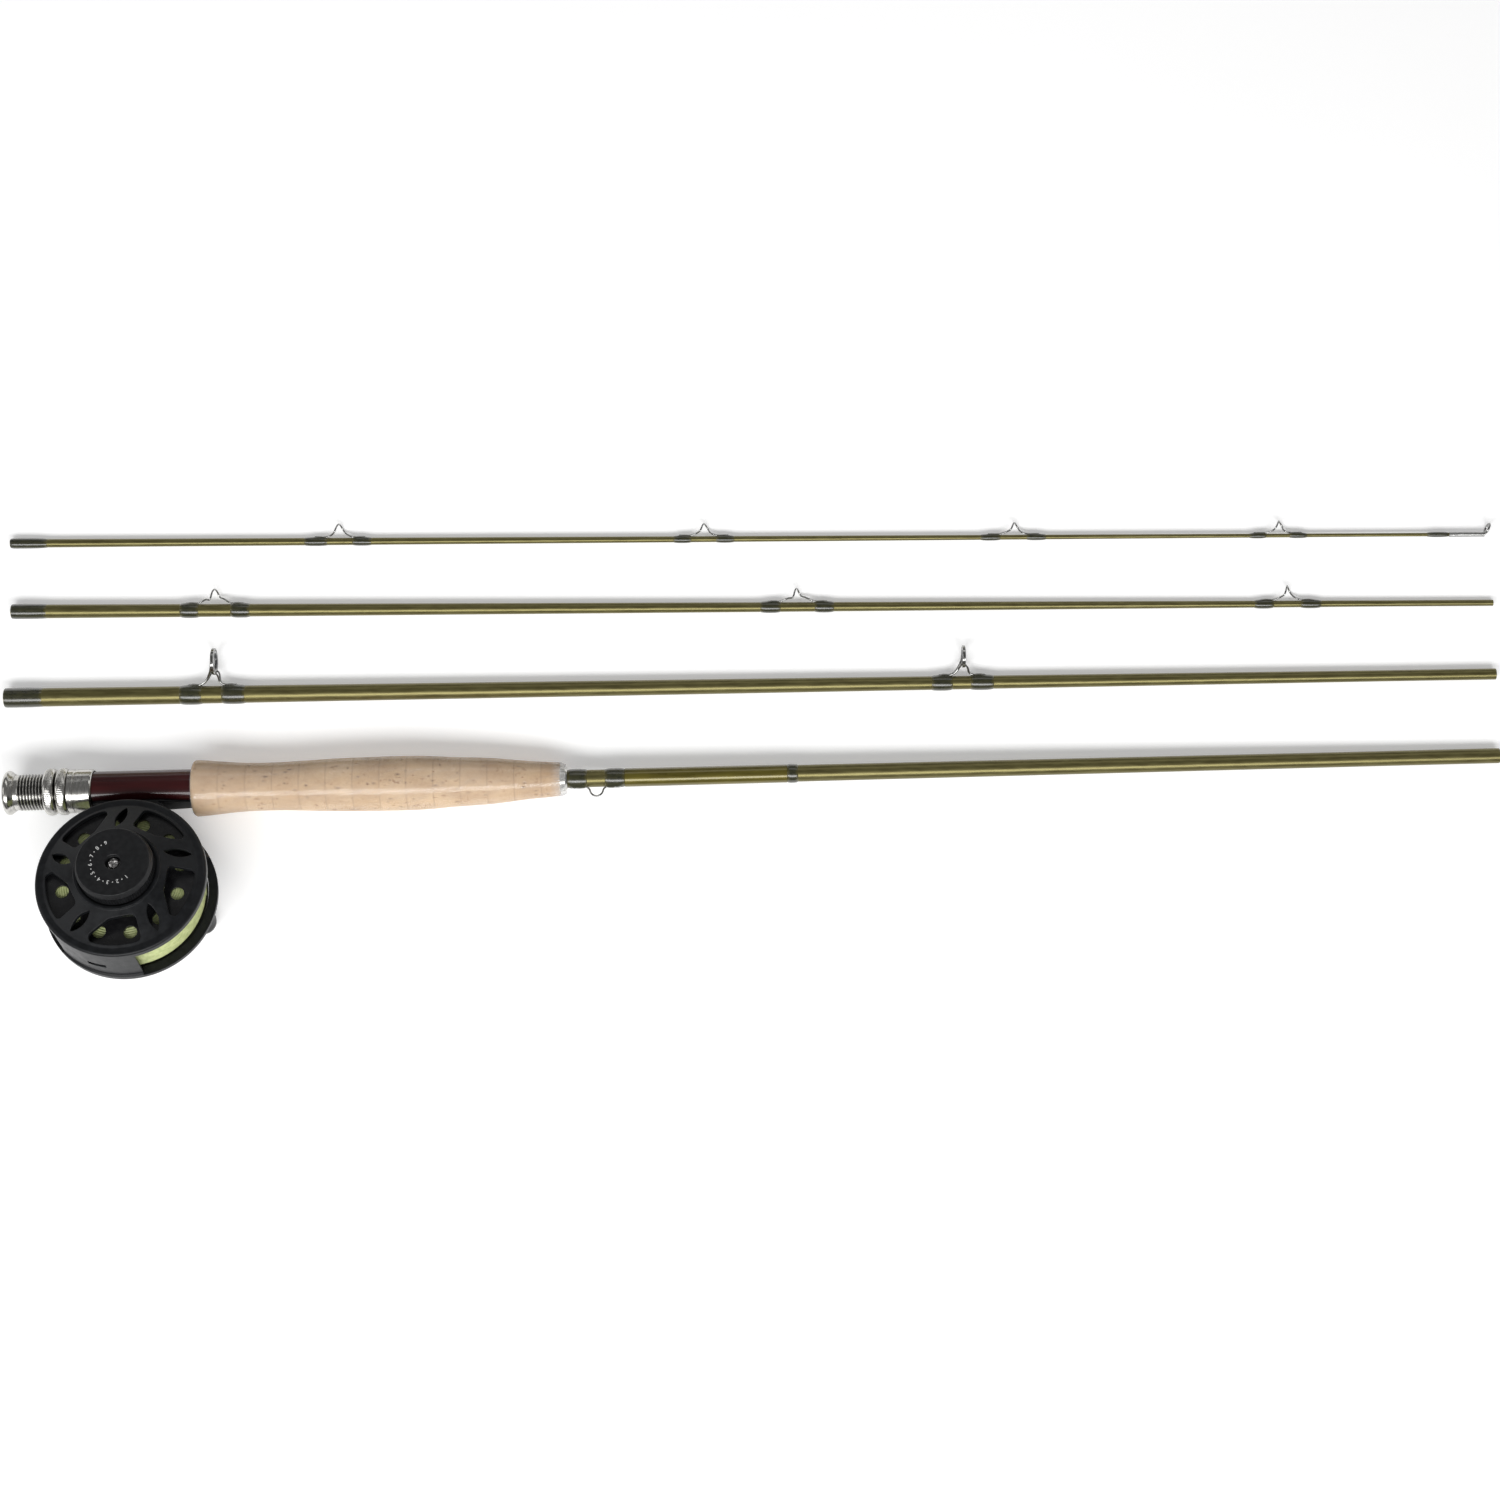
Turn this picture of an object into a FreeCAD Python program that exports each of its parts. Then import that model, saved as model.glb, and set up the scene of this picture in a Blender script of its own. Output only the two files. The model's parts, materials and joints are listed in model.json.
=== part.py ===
import FreeCAD, Part
import math
import os

import Sketcher

# A four-piece fly rod taken apart and laid out on a table, with its reel on the butt section.
# Every rod section has its own frame: X runs along the section from its left end, +Y is the side that
# carries the line guides, Z completes the set.  The reel shares the butt section's directions, with its
# origin on the spool's axis and +Z towards the drag knob.

Vector = FreeCAD.Vector
Rotation = FreeCAD.Rotation
Placement = FreeCAD.Placement
AXIS_X, AXIS_Y, AXIS_Z = Vector(1, 0, 0), Vector(0, 1, 0), Vector(0, 0, 1)

SIZES = {
    # where each section lies: its left end, its turn about Z, its slope and its roll
    "butt_x": -356.9, "butt_y": -20.7, "butt_z": 16.9, "butt_yaw": 1.43, "butt_slope": 1.032,
    "butt_roll": -25.6, "butt_length": 720.2,
    "lower_x": -360.6, "lower_y": 25.2, "lower_z": 5.12, "lower_yaw": 0.925, "lower_slope": 0.146,
    "lower_roll": 8.4, "lower_length": 722.2,
    "upper_x": -357.7, "upper_y": 67.1, "upper_z": 3.94, "upper_yaw": 0.35, "upper_slope": 0.152,
    "upper_roll": 10.5, "upper_length": 718.3,
    "tip_x": -358.7, "tip_y": 100.2, "tip_z": 2.55, "tip_yaw": 0.36, "tip_slope": -0.026,
    "tip_roll": 7.0, "tip_length": 713.4,
    # blanks: radius at the thick and thin ends, ferrule sockets and spigots
    "butt_thick": 4.25, "butt_thin": 3.65, "butt_hollow": 2.9, "butt_inset": 10.0,
    "lower_thick": 4.55, "lower_thin": 2.7, "lower_socket": 3.7, "lower_hollow": 2.0,
    "upper_thick": 3.4, "upper_thin": 1.5, "upper_socket": 2.75, "upper_hollow": 0.95,
    "tip_thick": 2.05, "tip_thin": 0.85, "tip_socket": 1.55, "tip_hollow": 0.4,
    "socket_depth": 52.0, "spigot_length": 52.0,
    # thread wraps
    "ferrule_wrap": 0.3, "tip_ferrule_wrap": 0.5, "wrap_height": 0.55, "fine_wrap_height": 0.4,
    "wrap_ramp": 1.6,
    # reel seat, along the butt section
    "cap_end": 5.0, "cap_radius": 10.7, "cap_round": 1.8,
    "thread_radius": 8.75, "thread_root": 8.25, "thread_pitch": 1.5,
    "barrel_end": 42.5, "insert_end": 102.0, "insert_radius": 9.3, "mortise_depth": 1.8,
    "mortise_start": 35.0, "seat_bore": 4.25,
    "nut_radius": 11.35, "nut_bore": 8.82, "rear_nut_start": 19.4, "rear_nut_end": 24.6,
    "front_nut_start": 25.4, "front_nut_end": 30.6,
    "hood_start": 30.9, "hood_end": 42.5, "hood_radius": 10.6, "hood_bore": 9.7, "hood_collar": 3.0,
    "fixed_hood_start": 90.4, "fixed_hood_end": 104.0, "fixed_hood_radius": 10.4,
    # grip
    "grip_end": 265.7, "film_thickness": 0.15, "film_end": 268.5,
    "check_start": 265.7, "check_end": 269.1, "check_radius": 6.2,
    "keeper_start": 279.6, "keeper_wire": 0.45,
    "label_start": 296.8, "label_end": 374.8, "label_height": 0.3,
    # reel frame
    "reel_x": 61.3, "reel_drop": 50.9, "rim_radius": 39.9, "rim_inner": 36.0, "rim_front": 14.3,
    "rim_back": 10.4, "hub_radius": 20.3, "hub_front": 22.0, "lip_inner": 18.7, "lip_front": 22.8,
    "hub_floor": 21.4, "hub_under": 19.2, "boss_radius": 7.5, "boss_under": 17.6, "spindle_seat": 4.0,
    "shell_inner_front": 12.0, "rear_radius": 40.9, "rear_inner": 36.6, "rear_back": -14.3,
    "rear_front": -11.0, "wall_inner": 38.4, "opening_inner": 37.2, "opening_outer": 60.0,
    "window_outer": 34.7, "window_inner": 23.5, "window_blunt": 2.4, "window_outer_blunt": 1.8,
    "window_waist": 21.7, "window_waist_drop": 9.7, "window_tip": -23.9, "window_corner": 2.3,
    "slot_inner": 22.6, "slot_outer": 34.5,
    "slot_half_width": 2.3, "foot_hole": 1.3, "foot_screw_spacing": 16.0,
    "block_half": 15.5, "block_top": 40.5, "block_bottom": 38.0, "block_half_depth": 7.0,
    # reel foot
    "foot_top": 43.4, "foot_under": 42.2, "foot_left": 25.1, "foot_right": 36.0, "foot_half_width": 5.0,
    "toe_half_width": 2.9, "foot_body_half": 14.0,
    # drag
    "shaft_radius": 3.0, "shaft_back": -15.6, "groove_radius": 2.3, "groove_front": -13.9,
    "groove_back": -14.8, "shaft_front": 27.2, "shaft_clearance": 0.06,
    "knob_radius": 18.0, "knob_face_radius": 16.9, "knob_base": 22.3, "knob_shoulder": 28.6,
    "knob_front": 31.4, "knob_skirt_inner": 15.2, "knob_roof": 27.2, "knob_well": 3.6,
    "knob_well_floor": 28.9,
    "nut_back": 25.3, "nut_front": 26.6, "nut_flat": 8.0, "spring_back": 22.7, "spring_front": 24.2,
    "spring_radius": 8.0, "washer_back": 21.9, "washer_front": 22.7, "washer_radius": 12.0,
    "pin_circle": 10.5, "push_pin": 1.2, "plate_back": 16.0, "plate_front": 17.3, "plate_radius": 14.0,
    "disc_back": 14.8, "disc_radius": 13.5, "disc_inner": 5.0,
    "rotor_back": 12.7, "rotor_front": 14.7, "tooth_root": 15.4, "tooth_tip": 17.0, "tooth_count": 24,
    "sleeve_radius": 4.6, "sleeve_back": -1.0,
    "pawl_pivot_radius": 20.6, "pawl_pin": 1.0,
    # spool
    "spool_front": 11.6, "spool_front_in": 10.4, "spool_front_radius": 35.5, "arbor_radius": 20.0,
    "arbor_inner": 18.5, "spool_rear": -13.6, "spool_rear_in": -12.0, "spool_rear_radius": 36.2,
    "spool_hub": 10.0, "spool_hub_bore": 7.0, "hub_boss_back": -13.6, "line_radius": 34.3,
    "port_circle": 27.9, "port_phase": 12.5, "port_radius": 3.15, "port_count": 12,
    "clutch_back": 0.0, "clutch_front": 10.5, "bush_back": -13.4, "bush_front": -6.0,
    "latch_front": -14.0, "latch_back": -14.7, "latch_half_width": 4.2, "latch_travel": 1.5,
    "cover_radius": 13.0, "cover_back": -17.4, "cover_roof": -16.2,
    # handle
    "handle_x": 29.6, "handle_y": -3.2, "handle_pin": 1.9, "handle_foot": -14.2, "handle_end": -40.6,
    "handle_radius": 6.4, "counterweight_radius": 5.0, "counterweight_back": -15.6,
}

doc = FreeCAD.newDocument("FlyRodAndReel")
sheet = doc.addObject("Spreadsheet::Sheet", "Sizes")
for row, (alias, size) in enumerate(SIZES.items(), 1):
    sheet.set(f"A{row}", alias)
    sheet.set(f"B{row}", str(size))
    sheet.setAlias(f"B{row}", alias)
doc.recompute()

parts = []


def number(text):
    """The value of an expression over the sheet."""
    return float(sheet.evalExpression(cells(text)))


def cells(text):
    """An expression in which each alias is written with its sheet."""
    words, word = [], ""
    for letter in str(text) + " ":
        if letter.isalnum() or letter == "_":
            word += letter
            continue
        words.append(f"Sizes.{word}" if word in SIZES else word)
        words.append(letter)
        word = ""
    return "".join(words).strip()


def section_frame(name):
    """Where a rod section lies on the table."""
    turn = Rotation(AXIS_Z, number(f"{name}_yaw"))
    turn = turn.multiply(Rotation(AXIS_Y, number(f"{name}_slope")))
    turn = turn.multiply(Rotation(AXIS_X, number(f"{name}_roll")))
    return Placement(Vector(*(number(f"{name}_{axis}") for axis in "xyz")), turn)


BUTT, LOWER, UPPER, TIP = (section_frame(name) for name in ("butt", "lower", "upper", "tip"))
REEL = BUTT.multiply(Placement(Vector(number("reel_x"), -number("reel_drop"), 0), Rotation()))
HANDLE = REEL.multiply(Placement(Vector(number("handle_x"), number("handle_y"), 0), Rotation()))


def keep(feature, label, place):
    """Registers a finished sub-part under its own name and puts it in its place."""
    feature.Label = label
    feature.Placement = place
    parts.append(feature)
    return feature


def new_body(label, place):
    return keep(doc.addObject("PartDesign::Body", label), label, place)


def new_sketch(body, name, plane, offset="0", turn=0):
    """A sketch on one of the body's origin planes, lifted along the plane's normal."""
    planes = {feature.Role: feature for feature in body.Origin.OriginFeatures}
    sketch = body.newObject("Sketcher::SketchObject", name)
    sketch.AttachmentSupport = [(planes[plane], "")]
    sketch.MapMode = "FlatFace"
    sketch.AttachmentOffset = Placement(Vector(0, 0, number(offset)), Rotation(AXIS_Z, turn))
    sketch.setExpression("AttachmentOffset.Base.z", cells(offset))
    return sketch


def pin_point(sketch, edge, end, x, y):
    """Holds an edge's end at two distances from the origin, both read from the sheet."""
    for kind, text, axis in (("DistanceX", x, -2), ("DistanceY", y, -1)):
        value = number(text)
        if abs(value) < 1e-9:
            sketch.addConstraint(Sketcher.Constraint("PointOnObject", edge, end, axis))
            continue
        index = sketch.addConstraint(Sketcher.Constraint(kind, -1, 1, edge, end, value))
        sketch.setExpression(f"Constraints[{index}]", cells(text))


def outline(sketch, corners):
    """Adds a closed outline of straight edges through corners given as expressions."""
    first = sketch.GeometryCount
    count = len(corners)
    spots = [Vector(number(x), number(y), 0) for x, y in corners]
    for i in range(count):
        sketch.addGeometry(Part.LineSegment(spots[i], spots[(i + 1) % count]), False)
    for i, (x, y) in enumerate(corners):
        following = first + (i + 1) % count
        sketch.addConstraint(Sketcher.Constraint("Coincident", first + i, 2, following, 1))
        pin_point(sketch, first + i, 1, x, y)


def circle(sketch, radius, x="0", y="0"):
    """Adds a circle whose radius and centre are expressions."""
    index = sketch.addGeometry(Part.Circle(Vector(number(x), number(y), 0), AXIS_Z, number(radius)), False)
    held = sketch.addConstraint(Sketcher.Constraint("Radius", index, number(radius)))
    sketch.setExpression(f"Constraints[{held}]", cells(radius))
    pin_point(sketch, index, 3, x, y)


def spot(radius, angle):
    """Expressions for a point at an angle on a circle about the origin."""
    turn = math.radians(angle)
    return f"{radius} * {math.cos(turn):.6f}", f"{radius} * {math.sin(turn):.6f}"


def revolve(body, name, outlines, about_z=False):
    """Turns outlines of (axial, radial) corners about X, or of (radial, axial) corners about Z."""
    sketch = new_sketch(body, f"{name}_profile", "XZ_Plane" if about_z else "XY_Plane")
    for corners in outlines:
        outline(sketch, corners)
    turning = body.newObject("PartDesign::Revolution", f"{name}_turning")
    turning.Profile = sketch
    turning.ReferenceAxis = (sketch, ["V_Axis" if about_z else "H_Axis"])
    turning.Angle = 360
    return turning


def turned(label, place, *outlines, about_z=False):
    body = new_body(label, place)
    revolve(body, label, outlines, about_z)
    return body


def rectangle(left, right, low, high):
    return [(left, low), (right, low), (right, high), (left, high)]


def tube(start, end, inner, outer):
    """The outline of a plain tube along X."""
    return rectangle(start, end, inner, outer)


def ring(inner, outer, back, front):
    """The outline of a plain ring about Z."""
    return rectangle(inner, outer, back, front)


def pocket(body, name, draw, depth, plane="XY_Plane", offset="0", turn=0, through=False, flip=False):
    """Cuts the shape that draw() puts in a sketch."""
    sketch = new_sketch(body, f"{name}_shape", plane, offset, turn)
    draw(sketch)
    doc.recompute()
    before = body.Shape.Volume
    cut = body.newObject("PartDesign::Pocket", name)
    cut.Profile = sketch
    cut.Reversed = flip
    if through:
        cut.Type = "ThroughAll"
        cut.Midplane = True
    else:
        cut.setExpression("Length", cells(depth))
    doc.recompute()
    assert body.Shape.Volume < before, f"{name} cuts nothing"
    return cut


def pad(body, name, draw, length, plane="XY_Plane", offset="0", turn=0):
    sketch = new_sketch(body, f"{name}_shape", plane, offset, turn)
    draw(sketch)
    boss = body.newObject("PartDesign::Pad", name)
    boss.Profile = sketch
    boss.setExpression("Length", cells(length))
    return boss


def round_edges(body, name, radius, wanted):
    """Rounds the edges of the body's tip that wanted(edge) picks."""
    doc.recompute()
    tip = body.Tip
    edges = [f"Edge{i}" for i, edge in enumerate(tip.Shape.Edges, 1) if wanted(edge)]
    fillet = body.newObject("PartDesign::Fillet", name)
    fillet.Base = (tip, edges)
    fillet.setExpression("Radius", cells(radius))
    doc.recompute()
    return fillet


def is_circle(edge, radius, along, value, slack=0.02):
    """True for a round edge of that radius whose centre lies at value along the axis."""
    curve = edge.Curve
    if not isinstance(curve, Part.Circle):
        return False
    return abs(curve.Radius - radius) < slack and abs(getattr(curve.Center, along) - value) < slack


def polar(body, name, originals, count):
    """Repeats features about the body's Z axis."""
    axes = {feature.Role: feature for feature in body.Origin.OriginFeatures}
    pattern = body.newObject("PartDesign::PolarPattern", name)
    pattern.Originals = originals
    pattern.Axis = (axes["Z_Axis"], [""])
    pattern.Angle = 360
    pattern.Occurrences = count
    body.Tip = pattern
    doc.recompute()
    return pattern


def set_shape(label, place, shape):
    feature = doc.addObject("Part::Feature", label)
    feature.Shape = shape
    return keep(feature, label, place)


def wire_along(points, radius):
    """A round wire that follows a smooth curve through the points."""
    curve = Part.BSplineCurve()
    curve.interpolate([Vector(*point) for point in points])
    spine = Part.Wire(curve.toShape())
    start, heading = curve.value(curve.FirstParameter), curve.tangent(curve.FirstParameter)[0]
    section = Part.Wire(Part.Circle(start, heading, radius).toShape())
    return spine.makePipeShell([section], True, True)


# ---------------------------------------------------------------------------------------------------
# Rod sections


def blank_radius(name, x):
    """Expression of a blank's outer radius at a distance from its left end."""
    slope = f"({name}_thick - {name}_thin) / ({name}_length - spigot_length)"
    return f"max({name}_thin; {name}_thick - {slope} * {x})"


def blank(name, place):
    """A hollow tapered blank: a ferrule socket at its left end and a plain spigot at its right."""
    spigot = f"{name}_length - spigot_length"
    turned(f"{name}_blank", place, [
        ("0", f"{name}_socket"), ("0", f"{name}_thick"), (spigot, f"{name}_thin"),
        (f"{name}_length", f"{name}_thin"), (f"{name}_length", f"{name}_hollow"),
        ("socket_depth + 8", f"{name}_hollow"), ("socket_depth", f"{name}_socket"),
    ])


def band(name, start, end, height):
    """The outline of one thread wrap, with a ramp of varnish at each end."""
    inner = [blank_radius(name, x) for x in (start, end)]
    ramp = "wrap_ramp"
    return [
        (start, inner[0]), (f"{start} + {ramp}", f"{inner[0]} + {height}"),
        (f"{end} - {ramp}", f"{inner[1]} + {height}"), (end, inner[1]),
    ]


def wraps(name, place, ferrule_end, ferrule_height, spans, height):
    """Every thread wrap of a section in one sub-part."""
    ferrule = [
        ("0.2", blank_radius(name, "0.2")), ("0.2", f"{blank_radius(name, '0.2')} + {ferrule_height}"),
        (f"{ferrule_end} - wrap_ramp", f"{blank_radius(name, ferrule_end)} + {ferrule_height}"),
        (str(ferrule_end), blank_radius(name, ferrule_end)),
    ]
    bands = [band(name, start, end, height) for start, end in spans]
    turned(f"{name}_wraps", place, ferrule, *bands)


def snake_guide(label, name, place, start, apex, end, height):
    """A snake guide: one wire that leaves its foot, loops over the line's way and comes down again."""
    wire = 0.42
    foot_left, foot_right = (number(blank_radius(name, x)) + wire for x in (start, end))
    half = 0.30 * height
    points = [
        (start - 6.0, foot_left, 0), (start - 2.5, foot_left, 0), (start, foot_left + 0.1, 0.1),
        (apex - 0.48 * (apex - start), foot_left + 0.19 * height, 0.55 * half),
        (apex - 1.9, 0.54 * height, half), (apex - 0.9, 0.80 * height, 0.75 * half),
        (apex, height - wire, 0),
        (apex + 0.9, 0.82 * height, -0.75 * half), (apex + 2.1, 0.56 * height, -half),
        (apex + 0.48 * (end - apex), foot_right + 0.19 * height, -0.55 * half),
        (end, foot_right + 0.1, -0.1), (end + 2.5, foot_right, 0), (end + 6.0, foot_right, 0),
    ]
    set_shape(label, place, wire_along(points, wire))


def stripping_guide(size, place, start, ring_x, end, top, outer):
    """A stripping guide: a collar on four wire legs, with a hard ring seated in the collar."""
    wire = 0.55
    foot_left, foot_right = (number(blank_radius("lower", x)) + wire for x in (start, end))
    centre = top - outer
    at = Placement(Vector(ring_x, centre, 0), Rotation(AXIS_Y, 90))
    collar = Part.makeCylinder(outer, 1.5).cut(Part.makeCylinder(outer - 0.9, 1.5))
    outside = [edge for edge in collar.Edges if abs(edge.Length - 2 * math.pi * outer) < 1]
    collar = collar.makeFillet(0.3, outside)
    collar.Placement = at
    collar.translate(Vector(-0.75, 0, 0))
    frame = collar
    for side in (-1, 1):
        rise = outer - 0.35
        left = [
            (start - 6.5, foot_left, 0.45 * side), (start - 1.5, foot_left, 0.6 * side),
            (start + 0.8, foot_left + 0.9, 1.0 * side),
            (ring_x - 2.1, centre - 0.95 * rise, 0.45 * rise * side),
            (ring_x - 0.7, centre - 0.45 * rise, 0.9 * rise * side),
            (ring_x - 0.25, centre + 0.1 * rise, rise * side),
        ]
        right = [
            (end + 6.5, foot_right, 0.45 * side), (end + 1.5, foot_right, 0.5 * side),
            (end - 0.8, foot_right + 0.8, 0.7 * side),
            (ring_x + 1.9, centre - 1.05 * rise, 0.42 * rise * side),
            (ring_x + 0.2, centre - 0.8 * rise, 0.62 * rise * side),
        ]
        frame = frame.fuse([wire_along(left, wire), wire_along(right, 0.85 * wire)])
    bore = Part.makeCylinder(outer - 0.9, 8)
    bore.Placement = at
    bore.translate(Vector(-4, 0, 0))
    set_shape(f"{size}_stripping_guide", place, frame.cut(bore).removeSplitter())
    thickness = 0.13 * outer
    insert = Part.makeTorus(outer - 0.9 - thickness, thickness)
    insert.Placement = at
    trim = Part.makeCylinder(outer - 0.9, 1.6)
    trim.Placement = at
    trim.translate(Vector(-0.8, 0, 0))
    set_shape(f"{size}_guide_ring", place, insert.common(trim))


def butt_section():
    place = BUTT
    spigot = "butt_length - spigot_length"
    turned("butt_blank", place, [
        ("butt_inset", "butt_hollow"), ("butt_inset", "butt_thick"), ("grip_end", "butt_thick"),
        (spigot, "butt_thin"), ("butt_length", "butt_thin"), ("butt_length", "butt_hollow"),
    ])

    def radius(x):
        slope = "(butt_thick - butt_thin) / (butt_length - spigot_length - grip_end)"
        return f"(butt_thin + {slope} * (butt_length - spigot_length - {x}))"

    bands = []
    ramp = "0.7"
    for start, end in (("check_end", "278.6"), ("287.2", "label_start"), ("label_end", "380.2")):
        bands.append([
            (start, radius(start)), (f"{start} + {ramp}", f"{radius(start)} + wrap_height"),
            (f"{end} - {ramp}", f"{radius(end)} + wrap_height"), (end, radius(end)),
        ])
    turned("butt_wraps", place, *bands)
    turned("label_coat", place, [
        ("label_start", radius("label_start")), ("label_start", f"{radius('label_start')} + label_height"),
        ("label_end", f"{radius('label_end')} + label_height"), ("label_end", radius("label_end")),
    ])
    # the wire's distance from the blank along its two feet and its loop
    keeper = [
        (271.0, 0), (275.0, 0), (278.6, 0.1), (279.6, 0.9), (280.2, 2.6), (281.3, 4.0), (283.1, 4.65),
        (284.9, 4.0), (286.0, 2.6), (286.6, 0.9), (287.6, 0.1), (291.0, 0), (294.5, 0),
    ]
    wire = number("keeper_wire")
    surface = number(radius("keeper_start")) + wire
    route = [(x, -surface - drop, 0) for x, drop in keeper]
    set_shape("hook_keeper", place, wire_along(route, wire))


def reel_seat():
    place = BUTT
    cap = turned("butt_cap", place, [
        ("0", "0"), ("0", "cap_radius"), ("cap_end", "cap_radius"), ("cap_end", "0")])
    round_edges(cap, "butt_cap_rounding", "cap_round",
                lambda edge: isinstance(edge.Curve, Part.Circle))
    ridges = [("cap_end", "seat_bore"), ("cap_end", "thread_root")]
    for i in range(17):
        crest = f"cap_end + 2.2 + {i} * thread_pitch"
        ridges += [
            (crest, "thread_root"), (f"{crest} + 0.4", "thread_radius"),
            (f"{crest} + 0.9", "thread_radius"), (f"{crest} + 1.3", "thread_root"),
        ]
    ridges += [("barrel_end", "thread_root"), ("barrel_end", "seat_bore"), ("butt_inset", "seat_bore")]
    barrel = turned("seat_barrel", place, ridges)
    insert = turned("seat_insert", place, tube("barrel_end", "insert_end", "seat_bore", "insert_radius"))

    def mortise(sketch):
        outline(sketch, rectangle("mortise_start", "insert_end + 1", "-insert_radius - 2",
                                  "mortise_depth - insert_radius"))

    for body in (barrel, insert):
        pocket(body, f"{body.Label}_mortise", mortise, "0", through=True)
    turned("fixed_hood", place, [
        ("fixed_hood_start", "hood_bore"), ("fixed_hood_start", "fixed_hood_radius"),
        ("fixed_hood_end", "fixed_hood_radius"), ("fixed_hood_end", "seat_bore"),
        ("insert_end + 0.2", "seat_bore"), ("insert_end + 0.2", "hood_bore")])
    turned("sliding_hood", place, [
        ("hood_start", "nut_bore"), ("hood_start", "hood_radius"),
        ("hood_start + 2.6", "hood_radius"), ("hood_start + 2.9", "hood_radius - 0.3"),
        ("hood_start + 3.5", "hood_radius - 0.3"), ("hood_start + 3.8", "hood_radius"),
        ("hood_end - 0.9", "hood_radius"), ("hood_end - 0.3", "hood_radius - 0.3"),
        ("hood_end", "hood_bore + 0.2"), ("hood_end", "hood_bore"),
        ("hood_start + hood_collar", "hood_bore"), ("hood_start + hood_collar", "nut_bore"),
    ])
    for which in ("rear", "front"):
        start, end = f"{which}_nut_start", f"{which}_nut_end"
        turned(f"{which}_lock_nut", place, [
            (start, "nut_bore"), (start, "nut_radius - 2.0"), (f"{start} + 0.5", "nut_radius - 0.9"),
            (f"{start} + 1.5", "nut_radius - 0.15"), (f"{start} + 2.1", "nut_radius"),
            (f"{end} - 2.1", "nut_radius"), (f"{end} - 1.5", "nut_radius - 0.15"),
            (f"{end} - 0.5", "nut_radius - 0.9"), (end, "nut_radius - 2.0"), (end, "nut_bore"),
        ])


# the grip's outer radius at stations along the butt section
GRIP = [
    (90.4, 12.9), (91.4, 13.65), (98.9, 13.15), (109.8, 12.1), (123.4, 11.55), (139.4, 11.95),
    (158.2, 12.75), (176.6, 13.1), (193.4, 13.15), (204.7, 12.75), (212.6, 12.15), (223.2, 11.7),
    (236.7, 10.8), (245.3, 9.85), (254.2, 9.0), (260.7, 8.5), (265.7, 7.9),
]


def grip_curve(shift):
    """The grip's outline as a smooth curve, moved out by shift."""
    curve = Part.BSplineCurve()
    curve.interpolate(Points=[Vector(x, radius + shift, 0) for x, radius in GRIP[1:]],
                      Parameters=[x for x, radius in GRIP[1:]])
    return curve.toShape()


def turn_about_x(edges):
    return Part.Face(Part.Wire(edges)).revolve(Vector(0, 0, 0), AXIS_X, 360)


def path(*points):
    corners = [Vector(*point, 0) for point in points]
    return [Part.LineSegment(a, b).toShape() for a, b in zip(corners, corners[1:])]


def grip():
    bore, hood = number("seat_bore"), number("fixed_hood_radius")
    counterbore, film = number("fixed_hood_end"), number("film_thickness")
    (start, start_radius), (shoulder, shoulder_radius) = GRIP[:2]
    end, end_radius = GRIP[-1]
    cork = [grip_curve(0)] + path((end, end_radius), (end, bore), (counterbore, bore), (counterbore, hood),
                                  (start, hood), (start, start_radius), (shoulder, shoulder_radius))
    set_shape("cork_grip", BUTT, turn_about_x(cork))
    film_end = number("film_end")
    skin = [grip_curve(0), grip_curve(film)]
    skin += path((shoulder, shoulder_radius), (start, start_radius), (start, start_radius + film),
                 (shoulder, shoulder_radius + film))
    skin += path((end, end_radius), (film_end, 7.0), (film_end, 7.0 + film), (end, end_radius + film))
    set_shape("grip_film", BUTT, turn_about_x(Part.__sortEdges__(skin)))
    turned("winding_check", BUTT, [
        ("check_start", "seat_bore"), ("check_start", "check_radius"),
        ("check_end - 1", "check_radius - 0.5"), ("check_end", "seat_bore + 0.7"), ("check_end", "seat_bore")])


def lower_section():
    blank("lower", LOWER)
    wraps("lower", LOWER, "18.4", "ferrule_wrap",
          [(84.9, 95.5), (105.2, 116.4), (448.6, 458.8), (467.5, 478.7)], "wrap_height")
    stripping_guide("large", LOWER, 95.5, 101.7, 105.6, 22.7, 6.55)
    stripping_guide("small", LOWER, 458.8, 464.2, 467.9, 18.2, 5.45)


def upper_section():
    blank("upper", UPPER)
    feet = [(90.7, 98.4, 106.2, 10.6), (372.5, 380.2, 389.0, 9.4), (611.8, 618.2, 624.9, 9.2)]
    spans = [(81.7, 90.7), (106.2, 115.4), (362.8, 372.5), (389.0, 398.5), (602.4, 611.8), (624.9, 634.9)]
    wraps("upper", UPPER, "17.0", "ferrule_wrap", spans, "wrap_height")
    for letter, (start, apex, end, height) in zip("abc", feet):
        snake_guide(f"upper_snake_guide_{letter}", "upper", UPPER, start, apex, end, height)


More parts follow.
